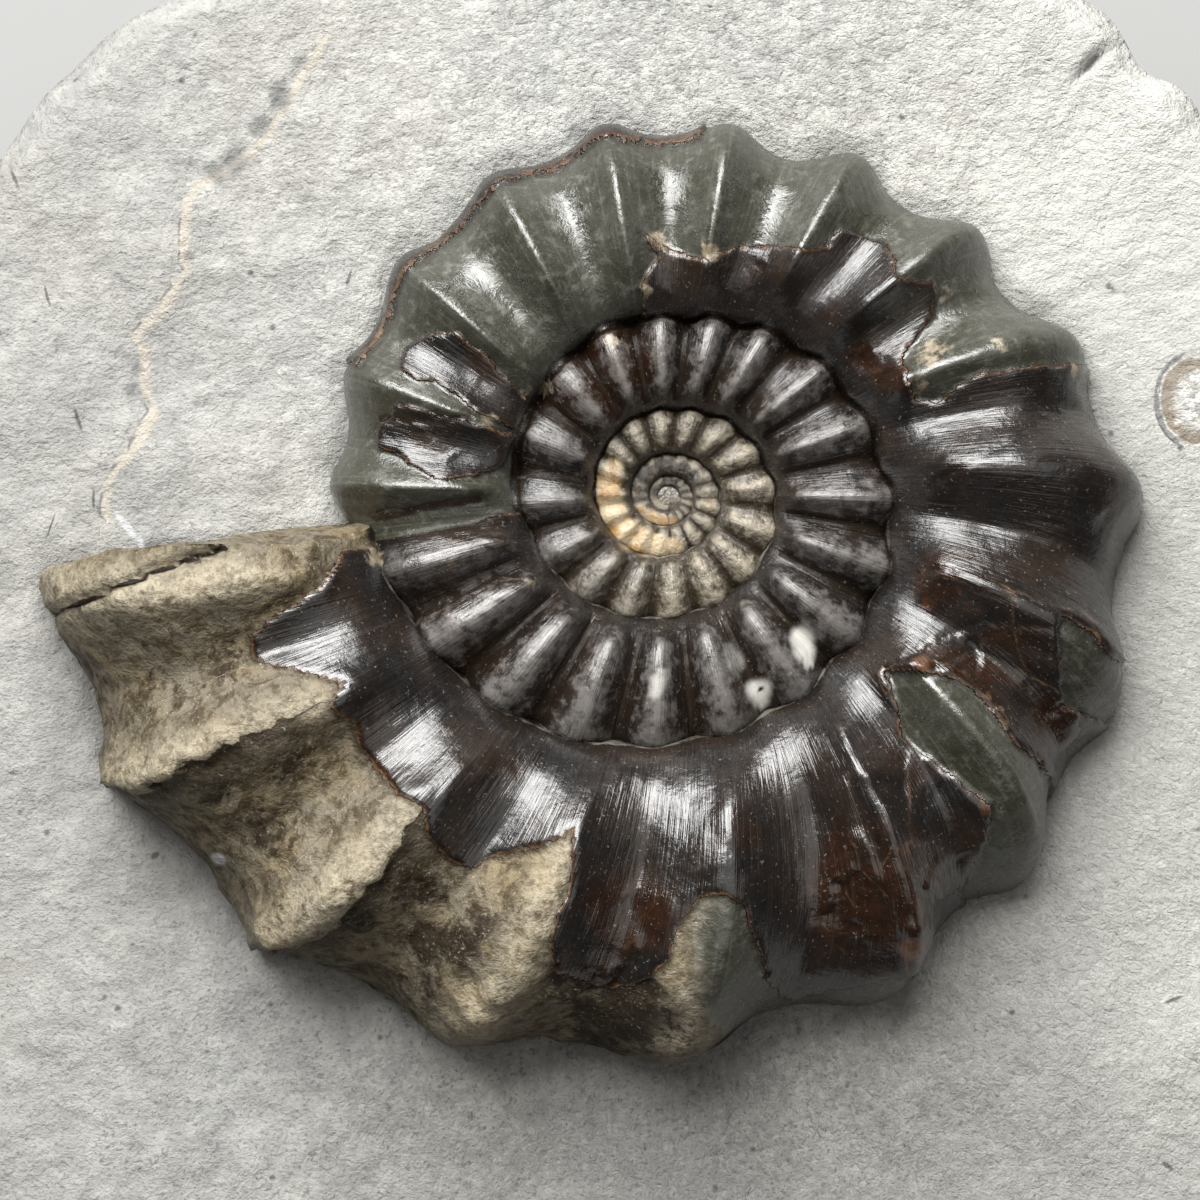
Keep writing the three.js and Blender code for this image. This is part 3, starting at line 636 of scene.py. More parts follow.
def build_ammonite(sizes):
    """Mesh of the whole ammonite: the last turn, and the inner turns that coil in from it."""
    all_points, all_faces, all_fields = [], [], {}
    total = 0

    def keep(points, fields):
        nonlocal total
        all_points.append(points.reshape(-1, 3))
        for key, value in fields.items():
            flat = value.reshape(-1, 3) if value.ndim == 3 or key == "coil" else value.reshape(-1)
            all_fields.setdefault(key, []).append(flat)
        first = total
        total += points.reshape(-1, 3).shape[0]
        return first

    def end_sink(a):
        return 0.02 + 0.06 * np.clip(a - (MOUTH + 357), 0, 60)

    def start_sink(a):
        return 0.05 * np.clip(MOUTH + 357 - a, 0, 60)

    turns = (
        (MOUTH, MOUTH + 366, 570, -28, 186, 86, lambda a: end_sink(a) * (a > MOUTH + 350)),
        (MOUTH + 350, MOUTH + 360 * TURNS, 1040, 18, 182, 42, start_sink),
    )
    for start, end, columns, low, high, rows, sink in turns:
        ring, fields = tube(start, end, columns, low, high, rows, sizes, sink)
        first = keep(ring, fields)
        count = rows + 2
        all_faces.append(grid_faces(columns, count, first))
        for column, sign in ((0, 1), (columns - 1, -1)):
            edge = ring[column]
            edge_fields = {k: v[column] for k, v in fields.items()}
            a_here = math.radians(start if column == 0 else end)
            along = np.array((-math.sin(a_here), math.cos(a_here), 0.0)) * (-sign)
            mouth = column == 0 and start < MOUTH + 20
            levels, centre, values = end_cap(edge, edge_fields, along, 0.4 if mouth else 0.0)
            if mouth:
                for key in values:
                    if key == "shell":
                        values[key] = [np.full_like(v, -2.0) for v in values[key]]
                    if key in {"cream", "stain_and_shade"}:
                        values[key] = [np.zeros_like(v) for v in values[key]]
                    if key in {"seam", "crack"}:
                        values[key] = [np.full_like(v, 9.0) for v in values[key]]
            before = first + column * count
            around = np.arange(count)
            for level, points in enumerate(levels):
                here = keep(points, {k: v[level] for k, v in values.items()})
                faces = np.stack(
                    [before + around, before + (around + 1) % count, here + (around + 1) % count, here + around],
                    axis=-1,
                )
                all_faces.append(faces if sign > 0 else faces[:, ::-1])
                before = here
            middle = keep(centre[None, :], {k: v[-1][:1] for k, v in values.items()})
            fan = np.stack([before + around, before + (around + 1) % count, np.full(count, middle)], axis=-1)
            all_faces.append(fan if sign > 0 else fan[:, ::-1])

    # The first chamber: a small flattened ball in the very middle
    steps, rounds = 28, 14
    size = 0.84
    v = np.linspace(0, np.pi, rounds)[1:-1]
    u = np.linspace(0, 2 * np.pi, steps, endpoint=False)
    vv, uu = np.meshgrid(v, u, indexing="ij")
    ball = np.stack([np.sin(vv) * np.cos(uu), np.sin(vv) * np.sin(uu), FLATNESS * np.cos(vv)], axis=-1) * size
    ball += 0.05 * grain(ball, 2.6)[..., None] + 0.03 * grain(ball, 7.0)[..., None]
    poles = np.array([[0, 0, FLATNESS * size], [0, 0, -FLATNESS * size]])
    points = np.concatenate([ball.reshape(-1, 3), poles])
    plain = {"shell": 3.0, "crack": 1.0, "flake": -9.0, "ledge": -9.0, "plate": 0.5, "valley": 0.0, "crust": 0.0, "chamber": 0.0, "red": 0.0, "cream": 0.0, "calcite": 0.0, "stain_and_shade": 0.5,
             "crest": 0.5, "seam": 5.0, "gold": 0.0}
    fields = {k: np.full(len(points), v) for k, v in plain.items()}
    fields["coil"] = np.tile(np.array([1800.0, 5.0, 18.0]), (len(points), 1))
    first = keep(points, fields)
    r, c = np.meshgrid(np.arange(rounds - 3), np.arange(steps), indexing="ij")
    a = first + r * steps + c
    b = first + r * steps + (c + 1) % steps
    all_faces.append(np.stack([a, a + steps, b + steps, b], axis=-1).reshape(-1, 4))
    top, bottom = first + len(points) - 2, first + len(points) - 1
    around = np.arange(steps)
    all_faces.append(np.stack([np.full(steps, top), first + around, first + (around + 1) % steps], axis=-1))
    last = first + (rounds - 3) * steps
    all_faces.append(np.stack([np.full(steps, bottom), last + (around + 1) % steps, last + around], axis=-1))

    points = np.concatenate(all_points) + np.array(COIL_AXIS)
    faces = [face for group in all_faces for face in group]
    fields = {k: np.concatenate(v) for k, v in all_fields.items()}
    piece = add_mesh("ammonite_shell", points, faces, fields)
    dull = ((fields["shell"] < 0) & (fields["chamber"] > 0.5)) | (fields["valley"] > 0.4)
    first_corners = np.array([face[0] for face in faces])
    piece.data.polygons.foreach_set("material_index", dull[first_corners].astype(np.int32))
    return piece


def stone_height(x, y):
    """Height of the plain upper face of the slab."""
    swell = TOP_SWELL * np.sin(x * 0.13 + 0.6) * np.cos(y * 0.11 - 0.4)
    return STONE_TOP + TOP_FALL[0] * x + TOP_FALL[1] * y + swell


def closed_curve(points, count):
    """Angles and distances, as seen from the middle, of points along a smooth closed curve through the given points."""
    p = np.array(points, dtype=float)
    n = len(p)
    out = []
    for i in range(n):
        p0, p1, p2, p3 = p[(i - 1) % n], p[i], p[(i + 1) % n], p[(i + 2) % n]
        u = np.linspace(0, 1, 40, endpoint=False)[:, None]
        out.append(
            0.5 * (2 * p1 + (p2 - p0) * u + (2 * p0 - 5 * p1 + 4 * p2 - p3) * u**2 + (3 * p1 - p0 - 3 * p2 + p3) * u**3)
        )
    line = np.concatenate(out)
    centre = (line.max(axis=0) + line.min(axis=0)) / 2
    line = line - centre
    angle = np.arctan2(line[:, 1], line[:, 0])
    order = np.argsort(angle)
    reach = np.hypot(line[:, 0], line[:, 1])[order]
    angle = angle[order]
    angle = np.concatenate([angle - 2 * np.pi, angle, angle + 2 * np.pi])
    return angle, np.tile(reach, 3)


def build_matrix(sizes):
    """Mesh of the slab: a fine grid over its upper face, walls below the edge and a flat underside."""
    n = 226
    line = np.linspace(-1, 1, n)
    u, v = np.meshgrid(line, line, indexing="ij")
    ring = np.maximum(np.abs(u), np.abs(v))
    angle = np.arctan2(v, u)
    angles, reach = closed_curve(STONE_OUTLINE, 720)

    def outline(theta):
        r = np.interp(theta, angles, reach)
        rim = np.stack([np.cos(theta) * 9, np.sin(theta) * 9, theta * 0], axis=-1)
        return r * (0.993 - 0.006 * np.abs(grain(rim, 0.9)) - 0.003 * np.abs(grain(rim, 2.7)))

    edge = outline(angle)
    x, y = ring * edge * np.cos(angle), ring * edge * np.sin(angle)
    z = stone_height(x, y) - EDGE_FALL * ring**4
    shoulder = smooth_step(ring, 0.962, 1.0)
    flat = np.stack([x, y, x * 0], axis=-1)
    z -= shoulder**1.5 * (1.25 + 0.5 * grain(flat, 0.22, 4.0))
    top = np.stack([x, y, z], axis=-1)

    from_coil = top[..., :2] - np.array(COIL_AXIS[:2])
    turn = np.arctan2(from_coil[..., 1], from_coil[..., 0])
    around = np.linspace(MOUTH, MOUTH + 360, 300)
    rim, *_ = whorl(around, np.radians(np.full_like(around, -8.0)))
    fossil = depth_inside(from_coil, rim[:, :2])
    radius = np.hypot(from_coil[..., 0], from_coil[..., 1])
    streak = np.stack([np.cos(turn) * 20.0, np.sin(turn) * 20.0, radius * 0.18], axis=-1)
    bent = flat[..., :2] + 0.2 * np.stack([grain(flat, 1.4, 6.1), grain(flat, 1.4, 2.6)], axis=-1)
    vein = across_line(bent, np.array(VEIN))
    patch = np.full(x.shape, 9.0)
    for px, py, pr in VEIN_STAINS:
        patch = np.minimum(patch, np.hypot(x - px, y - py) / pr)
    crack = distance_to_line(flat[..., :2], np.array(SLAB_CRACK)) + 0.1 * grain(flat, 1.5, 1.1)
    bumps = (
        sizes.stone_roughness * (0.9 * grain(flat, 0.17, 1.0) + 0.5 * grain(flat, 0.45, 2.0) + 0.22 * grain(flat, 1.3))
        + 0.02 * grain(streak, 1.6) + 0.05 * grain(flat, 2.4, 5.0)
    )
    bumps -= 0.12 * (1 - smooth_step(np.abs(vein - 0.3), 0.1, 0.4)) - 0.06 * (1 - smooth_step(np.abs(vein), 0.1, 0.4))
    bumps -= 0.5 * (1 - smooth_step(crack, 0.05, 0.4))
    bumps -= 0.35 * (1 - smooth_step(-fossil, 0.0, 1.3)) * (fossil < 0)
    pits = np.random.default_rng(5)
    for _ in range(170):
        px, py = pits.uniform(-35, 35, 2)
        pr = pits.uniform(0.15, 0.42)
        d = np.hypot(x - px, y - py)
        bumps -= 0.3 * pr * np.clip(1 - (d / pr) ** 2, 0, 1)
    top[..., 2] += bumps * (1 - 0.6 * shoulder)
    top[..., 2] = np.where(fossil > 0, top[..., 2] - 0.35 - 1.6 * smooth_step(fossil, 0.0, 1.2), top[..., 2])

    points = [top.reshape(-1, 3)]
    i, j = np.meshgrid(np.arange(n - 1), np.arange(n - 1), indexing="ij")
    a = i * n + j
    faces = [np.stack([a, a + n, a + n + 1, a + 1], axis=-1).reshape(-1, 4)]

    idx = np.arange(n)
    border = np.concatenate([
        idx[:-1] * n, (n - 1) * n + idx[:-1], idx[:0:-1] * n + n - 1, idx[:0:-1],
    ])
    edge_points = top.reshape(-1, 3)[border]
    theta = np.arctan2(edge_points[:, 1], edge_points[:, 0])
    far = outline(theta)
    rows = 30
    before = border
    base = n * n
    table = np.array(SIDE_RINGS, dtype=float)
    for row in range(1, rows + 1):
        s = row / rows
        scale = np.interp(s, np.linspace(0, 1, len(table)), table[:, 0])
        level = np.interp(s, np.linspace(0, 1, len(table)), table[:, 1])
        px, py = far * scale * np.cos(theta), far * scale * np.sin(theta)
        height = edge_points[:, 2] * (level / table[0, 1])
        wall = np.stack([px, py, height], axis=-1)
        facet = np.abs(grain(wall, 0.12, 3.0)) * 1.9 + np.abs(grain(wall, 0.3, 8.0)) * 1.2
        facet = facet + 0.42 * np.abs(grain(wall, 0.8, 2.0)) + 0.2 * np.abs(grain(wall, 1.9, 2.0))
        cut = facet * math.sin(math.pi * min(s * 1.15, 1.0)) ** 0.6 if s < 0.87 else facet * 0.0
        px, py = (far * scale - cut) * np.cos(theta), (far * scale - cut) * np.sin(theta)
        if row == rows:
            height = height * 0
        points.append(np.stack([px, py, height], axis=-1))
        here = base + (row - 1) * len(border) + np.arange(len(border))
        nxt = np.roll(np.arange(len(border)), -1)
        faces.append(np.stack([before, here, here[nxt], before[nxt]], axis=-1))
        before = here
    points.append(np.array([[0.0, 0.0, 0.0]]))
    centre = base + rows * len(border)
    nxt = np.roll(np.arange(len(border)), -1)
    faces.append(np.stack([before, np.full(len(border), centre), before[nxt]], axis=-1))
    points = np.concatenate(points)
    flat = points[:, :2]
    from_coil = flat - np.array(COIL_AXIS[:2])
    reach_out = np.maximum(np.hypot(from_coil[:, 0], from_coil[:, 1]), 1e-6)
    fields = {
        "vein": np.concatenate([vein.ravel(), np.full(len(points) - n * n, 9.0)]),
        "patch": np.concatenate([patch.ravel(), np.full(len(points) - n * n, 9.0)]),
        "crack": np.concatenate([crack.ravel(), np.full(len(points) - n * n, 9.0)]),
        "contact": np.concatenate([-fossil.ravel(), np.full(len(points) - n * n, 9.0)]),
        "scratch": np.stack([
            from_coil[:, 0] / reach_out * 20.0,
            from_coil[:, 1] / reach_out * 20.0,
            reach_out + points[:, 2],
        ], axis=-1),
    }
    return add_mesh("limestone_slab", points, [f for group in faces for f in group], fields)


def build_small_shell():
    """Mesh of the part of the second shell that shows: a low dome with a thin rim, closed below."""
    cx, cy, radius = SMALL_SHELL
    steps, rounds = 120, 34
    u = np.linspace(0, 2 * np.pi, steps, endpoint=False)
    points, rim = [], []
    base = float(stone_height(np.float64(cx), np.float64(cy))) - 0.1
    for k in range(rounds + 1):
        s = k / rounds
        r = radius * s
        wave = 1 + 0.02 * np.sin(3 * u + 1)
        z = base + 0.3 * (1 - s**2.4) ** 0.5 - 0.08
        z = z + 0.12 * math.exp(-(((s - 0.96) / 0.025) ** 2))
        p = np.stack([cx + r * wave * np.cos(u) * 0.985, cy + r * wave * np.sin(u) * 0.985, np.full(steps, z)], -1)
        p[:, 2] += 0.05 * grain(p, 0.9, 1.0) * (1 - s**6) + 0.02 * grain(p, 2.5, 1.0)
        points.append(p if k else p[:1])
        rim.append(np.full(steps if k else 1, (1 - s) * radius))
    for z, scale in ((base - 1.0, 0.97), (base - 2.0, 0.8)):
        p = np.stack([
            cx + radius * scale * np.cos(u), cy + radius * scale * np.sin(u), np.full(steps, z)], -1)
        points.append(p)
        rim.append(np.zeros(steps))
    points.append(np.array([[cx, cy, base - 2.0]]))
    rim.append(np.zeros(1))
    faces = []
    around = np.arange(steps)
    nxt = (around + 1) % steps
    faces.append(np.stack([np.zeros(steps, int), 1 + around, 1 + nxt], axis=-1))
    for k in range(rounds + 1):
        a = 1 + k * steps
        faces.append(np.stack([a + around, a + steps + around, a + steps + nxt, a + nxt], axis=-1))
    last = 1 + (rounds + 1) * steps
    faces.append(np.stack([last + around, np.full(steps, last + steps), last + nxt], axis=-1))
    fields = {"rim": np.concatenate(rim)}
    return add_mesh("small_shell_in_stone", np.concatenate(points), [f for g in faces for f in g], fields)


class Nodes:
    """Short way to lay out a material's nodes."""

    def __init__(self, name):
        self.material = bpy.data.materials.new(name)
        self.material.use_nodes = True
        self.tree = self.material.node_tree
        self.tree.nodes.clear()
        self.out = self.tree.nodes.new("ShaderNodeOutputMaterial")
        self.shader = self.tree.nodes.new("ShaderNodeBsdfPrincipled")
        self.tree.links.new(self.shader.outputs[0], self.out.inputs[0])

    def put(self, socket, value):
        if isinstance(value, bpy.types.NodeSocket):
            self.tree.links.new(value, socket)
        elif value is not None:
            socket.default_value = value

    def set(self, name, value):
        self.put(self.shader.inputs[name], value)

    def field(self, name, vector=False):
        node = self.tree.nodes.new("ShaderNodeAttribute")
        node.attribute_name = name
        return node.outputs["Vector" if vector else "Fac"]

    def place(self):
        return self.tree.nodes.new("ShaderNodeTexCoord").outputs["Object"]

    def math(self, kind, a, b=0.0, c=0.0):
        node = self.tree.nodes.new("ShaderNodeMath")
        node.operation = kind
        for socket, value in zip(node.inputs, (a, b, c)):
            self.put(socket, value)
        return node.outputs[0]

    def ramp(self, value, low, high, out_low=0.0, out_high=1.0):
        node = self.tree.nodes.new("ShaderNodeMapRange")
        node.interpolation_type = "SMOOTHSTEP"
        for socket, v in zip(node.inputs, (value, low, high, out_low, out_high)):
            self.put(socket, v)
        return node.outputs[0]

    def mix(self, share, a, b, kind="MIX"):
        node = self.tree.nodes.new("ShaderNodeMix")
        node.data_type = "RGBA"
        node.blend_type = kind
        self.put(node.inputs[0], share)
        self.put(node.inputs[6], a if isinstance(a, bpy.types.NodeSocket) else (*a, 1.0))
        self.put(node.inputs[7], b if isinstance(b, bpy.types.NodeSocket) else (*b, 1.0))
        return node.outputs[2]

    def noise(self, vector, scale, detail=2.0, roughness=0.5, distortion=0.0):
        node = self.tree.nodes.new("ShaderNodeTexNoise")
        self.put(node.inputs["Vector"], vector)
        for key, value in (
            ("Scale", scale), ("Detail", detail), ("Roughness", roughness), ("Distortion", distortion),
        ):
            node.inputs[key].default_value = value
        return node.outputs["Fac"]

    def cells(self, vector, scale):
        node = self.tree.nodes.new("ShaderNodeTexVoronoi")
        self.put(node.inputs["Vector"], vector)
        node.inputs["Scale"].default_value = scale
        return node.outputs["Distance"]

    def blend(self, share, a, b):
        node = self.tree.nodes.new("ShaderNodeMix")
        for socket, value in zip(node.inputs[:1] + node.inputs[2:4], (share, a, b)):
            self.put(socket, value)
        return node.outputs[0]

    def turned(self, vector, angle, by):
        node = self.tree.nodes.new("ShaderNodeMapping")
        self.put(node.inputs["Vector"], vector)
        node.inputs["Rotation"].default_value = (0.0, 0.0, angle)
        node.inputs["Scale"].default_value = by
        return node.outputs[0]

    def stroke(self, vector, row):
        """1 inside a short stroke (x, y, half length, half width, turn) on the stone."""
        x, y, length, width, angle = row
        node = self.tree.nodes.new("ShaderNodeMapping")
        node.vector_type = "TEXTURE"
        self.put(node.inputs["Vector"], vector)
        node.inputs["Location"].default_value = (x * MM, y * MM, 0.0)
        node.inputs["Rotation"].default_value = (0.0, 0.0, math.radians(angle))
        node.inputs["Scale"].default_value = (length * MM, width * MM, 1.0)
        size = self.tree.nodes.new("ShaderNodeVectorMath")
        size.operation = "LENGTH"
        self.put(size.inputs[0], node.outputs[0])
        return self.ramp(size.outputs["Value"], 0.5, 1.3, 1.0, 0.0)

    def shift(self, vector, scale, by):
        noise = self.tree.nodes.new("ShaderNodeTexNoise")
        self.put(noise.inputs["Vector"], vector)
        noise.inputs["Scale"].default_value = scale
        node = self.tree.nodes.new("ShaderNodeVectorMath")
        node.operation = "MULTIPLY_ADD"
        self.put(node.inputs[0], noise.outputs["Color"])
        node.inputs[1].default_value = (by, by, by)
        self.put(node.inputs[2], vector)
        return node.outputs[0]

    def stretch(self, vector, by):
        node = self.tree.nodes.new("ShaderNodeVectorMath")
        node.operation = "MULTIPLY"
        self.put(node.inputs[0], vector)
        node.inputs[1].default_value = by
        return node.outputs[0]

    def parts(self, vector):
        node = self.tree.nodes.new("ShaderNodeSeparateXYZ")
        self.put(node.inputs[0], vector)
        return node.outputs

    def bump(self, height, distance, strength=1.0, below=None):
        node = self.tree.nodes.new("ShaderNodeBump")
        node.inputs["Distance"].default_value = distance
        node.inputs["Strength"].default_value = strength
        self.put(node.inputs["Height"], height)
        if below is not None:
            self.put(node.inputs["Normal"], below)
        return node.outputs[0]


def fossil_material(colours, name, shine):
    """Glossy dark shell over grey-green and buff mould, with cream crust and white calcite, painted shade in the seams
    and under broken edges, dirt and painted shade in the rib valleys, and painted highlights on rib crests.
    """
    n = Nodes(name)
    place = n.place()
    coil = n.field("coil", vector=True)
    along, across, turn = n.parts(coil)
    crest = n.field("crest")
    edge_noise = n.noise(place, 2600, 3.0, 0.6)
    shell = n.math("ADD", n.field("shell"), n.math("MULTIPLY", n.math("SUBTRACT", edge_noise, 0.5), 0.4))
    covered = n.ramp(shell, -0.03, 0.05)

    striae = n.noise(n.stretch(coil, (1.3, 0.25, 0.0)), 1.0, 3.0, 0.6)
    fine_striae = n.noise(n.stretch(coil, (4.0, 0.6, 0.0)), 1.0, 2.0, 0.6)
    patches = n.noise(place, 260, 4.0, 0.6)
    fine = n.noise(place, 1500, 4.0, 0.65)
    tiny = n.noise(place, 5200, 2.0, 0.6)
    blotch = n.noise(place, 620, 5.0, 0.72, 0.6)
    speckle = n.math("ADD", n.math("MULTIPLY", fine, 0.6), n.math("MULTIPLY", edge_noise, 0.4))

    # Shell
    dark = n.mix(n.ramp(patches, 0.35, 0.7), tuple(colours.shell_dark), tuple(colours.shell_dark_warm))
    brown = n.mix(n.ramp(fine, 0.3, 0.7), tuple(colours.shell_brown), tuple(colours.shell_red))
    thin = n.math("MULTIPLY", n.ramp(shell, 0.0, 0.6, 1.0, 0.0), n.ramp(patches, 0.4, 0.65))
    redness = n.math("MAXIMUM", n.field("red"), n.math("MULTIPLY", thin, 0.9))
    redness = n.math("ADD", redness, n.math("MULTIPLY", n.math("SUBTRACT", blotch, 0.5), 1.1))
    plate = n.math("SUBTRACT", n.field("plate"), 0.5)
    redness = n.math("ADD", redness, n.math("MULTIPLY", plate, n.ramp(redness, 0.2, 0.6, 0.0, 0.9)))
    redness = n.ramp(redness, 0.3, 0.95)
    shell_colour = n.mix(redness, dark, brown)
    # Pale growth lines along the ribs, partly a painted sheen
    shell_colour = n.mix(n.ramp(striae, 0.55, 0.8, 0.0, 0.1), shell_colour, tuple(colours.shell_growth_line_and_highlight))
    flake = n.tree.nodes.new("ShaderNodeTexVoronoi")
    flake.feature = "DISTANCE_TO_EDGE"
    flake.inputs["Scale"].default_value = 300
    n.put(flake.inputs["Vector"], n.shift(place, 420, 0.0022))
    split = n.math("MULTIPLY", n.ramp(flake.outputs["Distance"], 0.012, 0.035, 1.0, 0.0), n.ramp(redness, 0.35, 0.8))
    split = n.math("MULTIPLY", split, n.ramp(blotch, 0.45, 0.62, 0.0, 0.12))
    flaked = n.math("ADD", n.field("flake"), n.math("MULTIPLY", n.math("SUBTRACT", fine, 0.5), 0.3))
    rim = n.math("MULTIPLY", n.ramp(flaked, -0.02, 0.02), n.ramp(flaked, 0.06, 0.16, 1.0, 0.0))
    rim = n.math("MULTIPLY", rim, n.ramp(blotch, 0.44, 0.6, 0.0, 0.35))
    # Painted shadow just outside the edge of each raised flake of shell
    painted_shadow_below_rim = n.math("MULTIPLY", n.ramp(flaked, -0.3, -0.03), n.ramp(flaked, -0.03, 0.0, 1.0, 0.0))
    lip = n.math("MULTIPLY", n.ramp(shell, 0.02, 0.2, 1.0, 0.0), n.ramp(edge_noise, 0.36, 0.58))
    edge_colour = n.mix(n.ramp(blotch, 0.42, 0.62), tuple(colours.shell_edge), tuple(colours.shell_edge_pale))
    shell_colour = n.mix(n.math("MAXIMUM", n.math("MAXIMUM", lip, rim), split), shell_colour, edge_colour)
    shell_colour = n.mix(n.math("MULTIPLY", painted_shadow_below_rim, 0.8), shell_colour, tuple(colours.dark_brown_dirt_and_shade))
    # Dark brown in the rib valleys: dirt and painted shade
    groove = n.math("ADD", n.field("valley"), n.math("MULTIPLY", n.math("SUBTRACT", fine, 0.5), 0.8))
    shell_colour = n.mix(n.ramp(groove, 0.25, 0.8, 0.0, 0.85), shell_colour, tuple(colours.dark_brown_dirt_and_shade))
    # Painted highlight: pale grey on the rib crests of the inner turns
    painted_crest_highlight = n.math("ADD", n.math("MULTIPLY", crest, 0.6), n.math("MULTIPLY", n.math("SUBTRACT", fine, 0.5), 1.6))
    painted_crest_highlight = n.math("MULTIPLY", n.ramp(painted_crest_highlight, 0.2, 0.72), n.ramp(turn, 5.4, 5.7, 0.0, 0.65))
    shell_colour = n.mix(painted_crest_highlight, shell_colour, tuple(colours.shell_growth_line_and_highlight))

    # Grey-green mould, with the frilled lines where its chamber walls were
    olive = n.mix(n.ramp(patches, 0.3, 0.7), tuple(colours.mould_green), tuple(colours.mould_grey))
    olive = n.mix(n.ramp(fine, 0.5, 0.75, 0.0, 0.45), olive, tuple(colours.mould_pale))
    olive = n.mix(n.ramp(blotch, 0.52, 0.7, 0.0, 0.6), olive, tuple(colours.mould_dark))
    olive = n.mix(n.ramp(tiny, 0.48, 0.7, 0.0, 0.55), olive, tuple(colours.mould_dark))
    olive = n.mix(n.ramp(striae, 0.5, 0.75, 0.0, 0.25), olive, tuple(colours.mould_pale))
    frill = n.noise(n.stretch(coil, (0.1, 1.0, 0.0)), 2.6, 5.0, 0.72)
    frill = n.math("MULTIPLY", n.math("SUBTRACT", frill, 0.5), 15.0)
    wall_mark = None
    for wall in CHAMBER_WALLS:
        off = n.math("ABSOLUTE", n.math("SUBTRACT", n.math("ADD", along, frill), float(wall)))
        mark = n.ramp(off, 0.1, 0.34, 1.0, 0.0)
        wall_mark = mark if wall_mark is None else n.math("MAXIMUM", wall_mark, mark)
    zone = n.math("MULTIPLY", n.ramp(across, 2.5, 4.0), n.ramp(across, 8.0, 9.0, 1.0, 0.0))
    wall_mark = n.math("MULTIPLY", wall_mark, n.math("MULTIPLY", zone, n.ramp(fine, 0.35, 0.5)))
    olive = n.mix(n.math("MULTIPLY", wall_mark, 0.8), olive, tuple(colours.dark_brown_dirt_and_shade))

    # Buff mould of the living chamber
    chamber = n.field("chamber")
    buff = n.mix(n.ramp(patches, 0.35, 0.62), tuple(colours.chamber_buff), tuple(colours.chamber_grey))
    buff = n.mix(n.ramp(blotch, 0.46, 0.62, 0.0, 0.85), buff, tuple(colours.chamber_brown))
    buff = n.mix(n.ramp(fine, 0.5, 0.7, 0.0, 0.55), buff, tuple(colours.chamber_stain_and_shade))
    spots = n.math("ADD", n.math("MULTIPLY", blotch, 0.4), n.math("MULTIPLY", fine, 0.6))
    stain_and_shade = n.math("ADD", n.field("stain_and_shade"), n.math("MULTIPLY", n.math("SUBTRACT", spots, 0.5), 3.0))
    buff = n.mix(n.ramp(stain_and_shade, 0.3, 0.9, 0.0, 0.92), buff, tuple(colours.chamber_stain_and_shade))
    # Painted shade below each broken ledge and a painted highlight along its top; the pale rib crests are partly worn
    # colour and partly painted highlight
    ledge = n.math("ADD", n.field("ledge"), n.math("MULTIPLY", n.math("SUBTRACT", fine, 0.5), 0.6))
    painted_shade_under_ledge = n.math("MULTIPLY", n.ramp(ledge, -2.2, -0.1), n.ramp(ledge, -0.02, 0.05, 1.0, 0.0))
    buff = n.mix(n.math("MULTIPLY", painted_shade_under_ledge, 0.8), buff, tuple(colours.chamber_stain_and_shade))
    over = n.math("MULTIPLY", n.ramp(ledge, 0.0, 0.08), n.ramp(ledge, 0.3, 1.6, 1.0, 0.0))
    worn_and_lit = n.math("MULTIPLY", n.math("MAXIMUM", n.ramp(crest, 0.5, 0.95), over), n.ramp(fine, 0.35, 0.6))
    worn_and_lit = n.math("MULTIPLY", worn_and_lit, n.math("SUBTRACT", 1.0, painted_shade_under_ledge))
    buff = n.mix(n.math("MULTIPLY", worn_and_lit, 0.65), buff, tuple(colours.chamber_crest))
    buff = n.mix(n.ramp(tiny, 0.58, 0.72, 0.0, 0.3), buff, tuple(colours.chamber_crest))
    buff = n.mix(n.ramp(speckle, 0.5, 0.6, 0.0, 0.5), buff, tuple(colours.chamber_brown))
    mould = n.mix(chamber, olive, buff)

    # Inner turns
    inner = n.ramp(n.math("ADD", turn, n.math("MULTIPLY", n.math("SUBTRACT", patches, 0.5), 1.2)), 9.0, 10.2)
    # Pale knobs on the rib crests of the inner turns: partly their own mottled colour, partly a painted highlight
    knob = n.math("ADD", n.math("MULTIPLY", crest, 0.75), n.math("MULTIPLY", n.math("SUBTRACT", speckle, 0.5), 3.0))
    inner_colour = n.mix(n.ramp(knob, 0.1, 0.9), tuple(colours.inner_olive), tuple(colours.inner_buff))
    inner_colour = n.mix(n.ramp(blotch, 0.5, 0.68, 0.0, 0.6), inner_colour, tuple(colours.inner_olive))
    # Painted shade, in dark brown, on the upper side of the inner turns and round the first chamber
    shaded = n.math("ADD", n.field("stain_and_shade"), n.math("MULTIPLY", n.math("SUBTRACT", speckle, 0.5), 1.4))
    inner_colour = n.mix(n.ramp(shaded, 0.3, 0.95, 0.0, 0.85), inner_colour, tuple(colours.dark_brown_dirt_and_shade))
    # Dark brown in the rib valleys of the inner turns: dirt and painted shade
    inner_colour = n.mix(n.ramp(groove, 0.35, 1.0, 0.0, 0.6), inner_colour, tuple(colours.dark_brown_dirt_and_shade))
    gold = n.math("ADD", n.field("gold"), n.math("MULTIPLY", n.math("SUBTRACT", blotch, 0.5), 1.2))
    gold_colour = n.mix(n.ramp(blotch, 0.4, 0.56), tuple(colours.heart_tan), tuple(colours.heart_cream))
    inner_colour = n.mix(n.ramp(gold, 0.25, 0.8), inner_colour, gold_colour)
    amber = n.mix(n.ramp(fine, 0.4, 0.6), tuple(colours.shell_amber), tuple(colours.shell_edge))
    shell_colour = n.mix(n.ramp(gold, 0.35, 0.95, 0.0, 0.9), shell_colour, amber)
    shell_colour = n.mix(n.math("MULTIPLY", inner, 0.92), shell_colour, inner_colour)

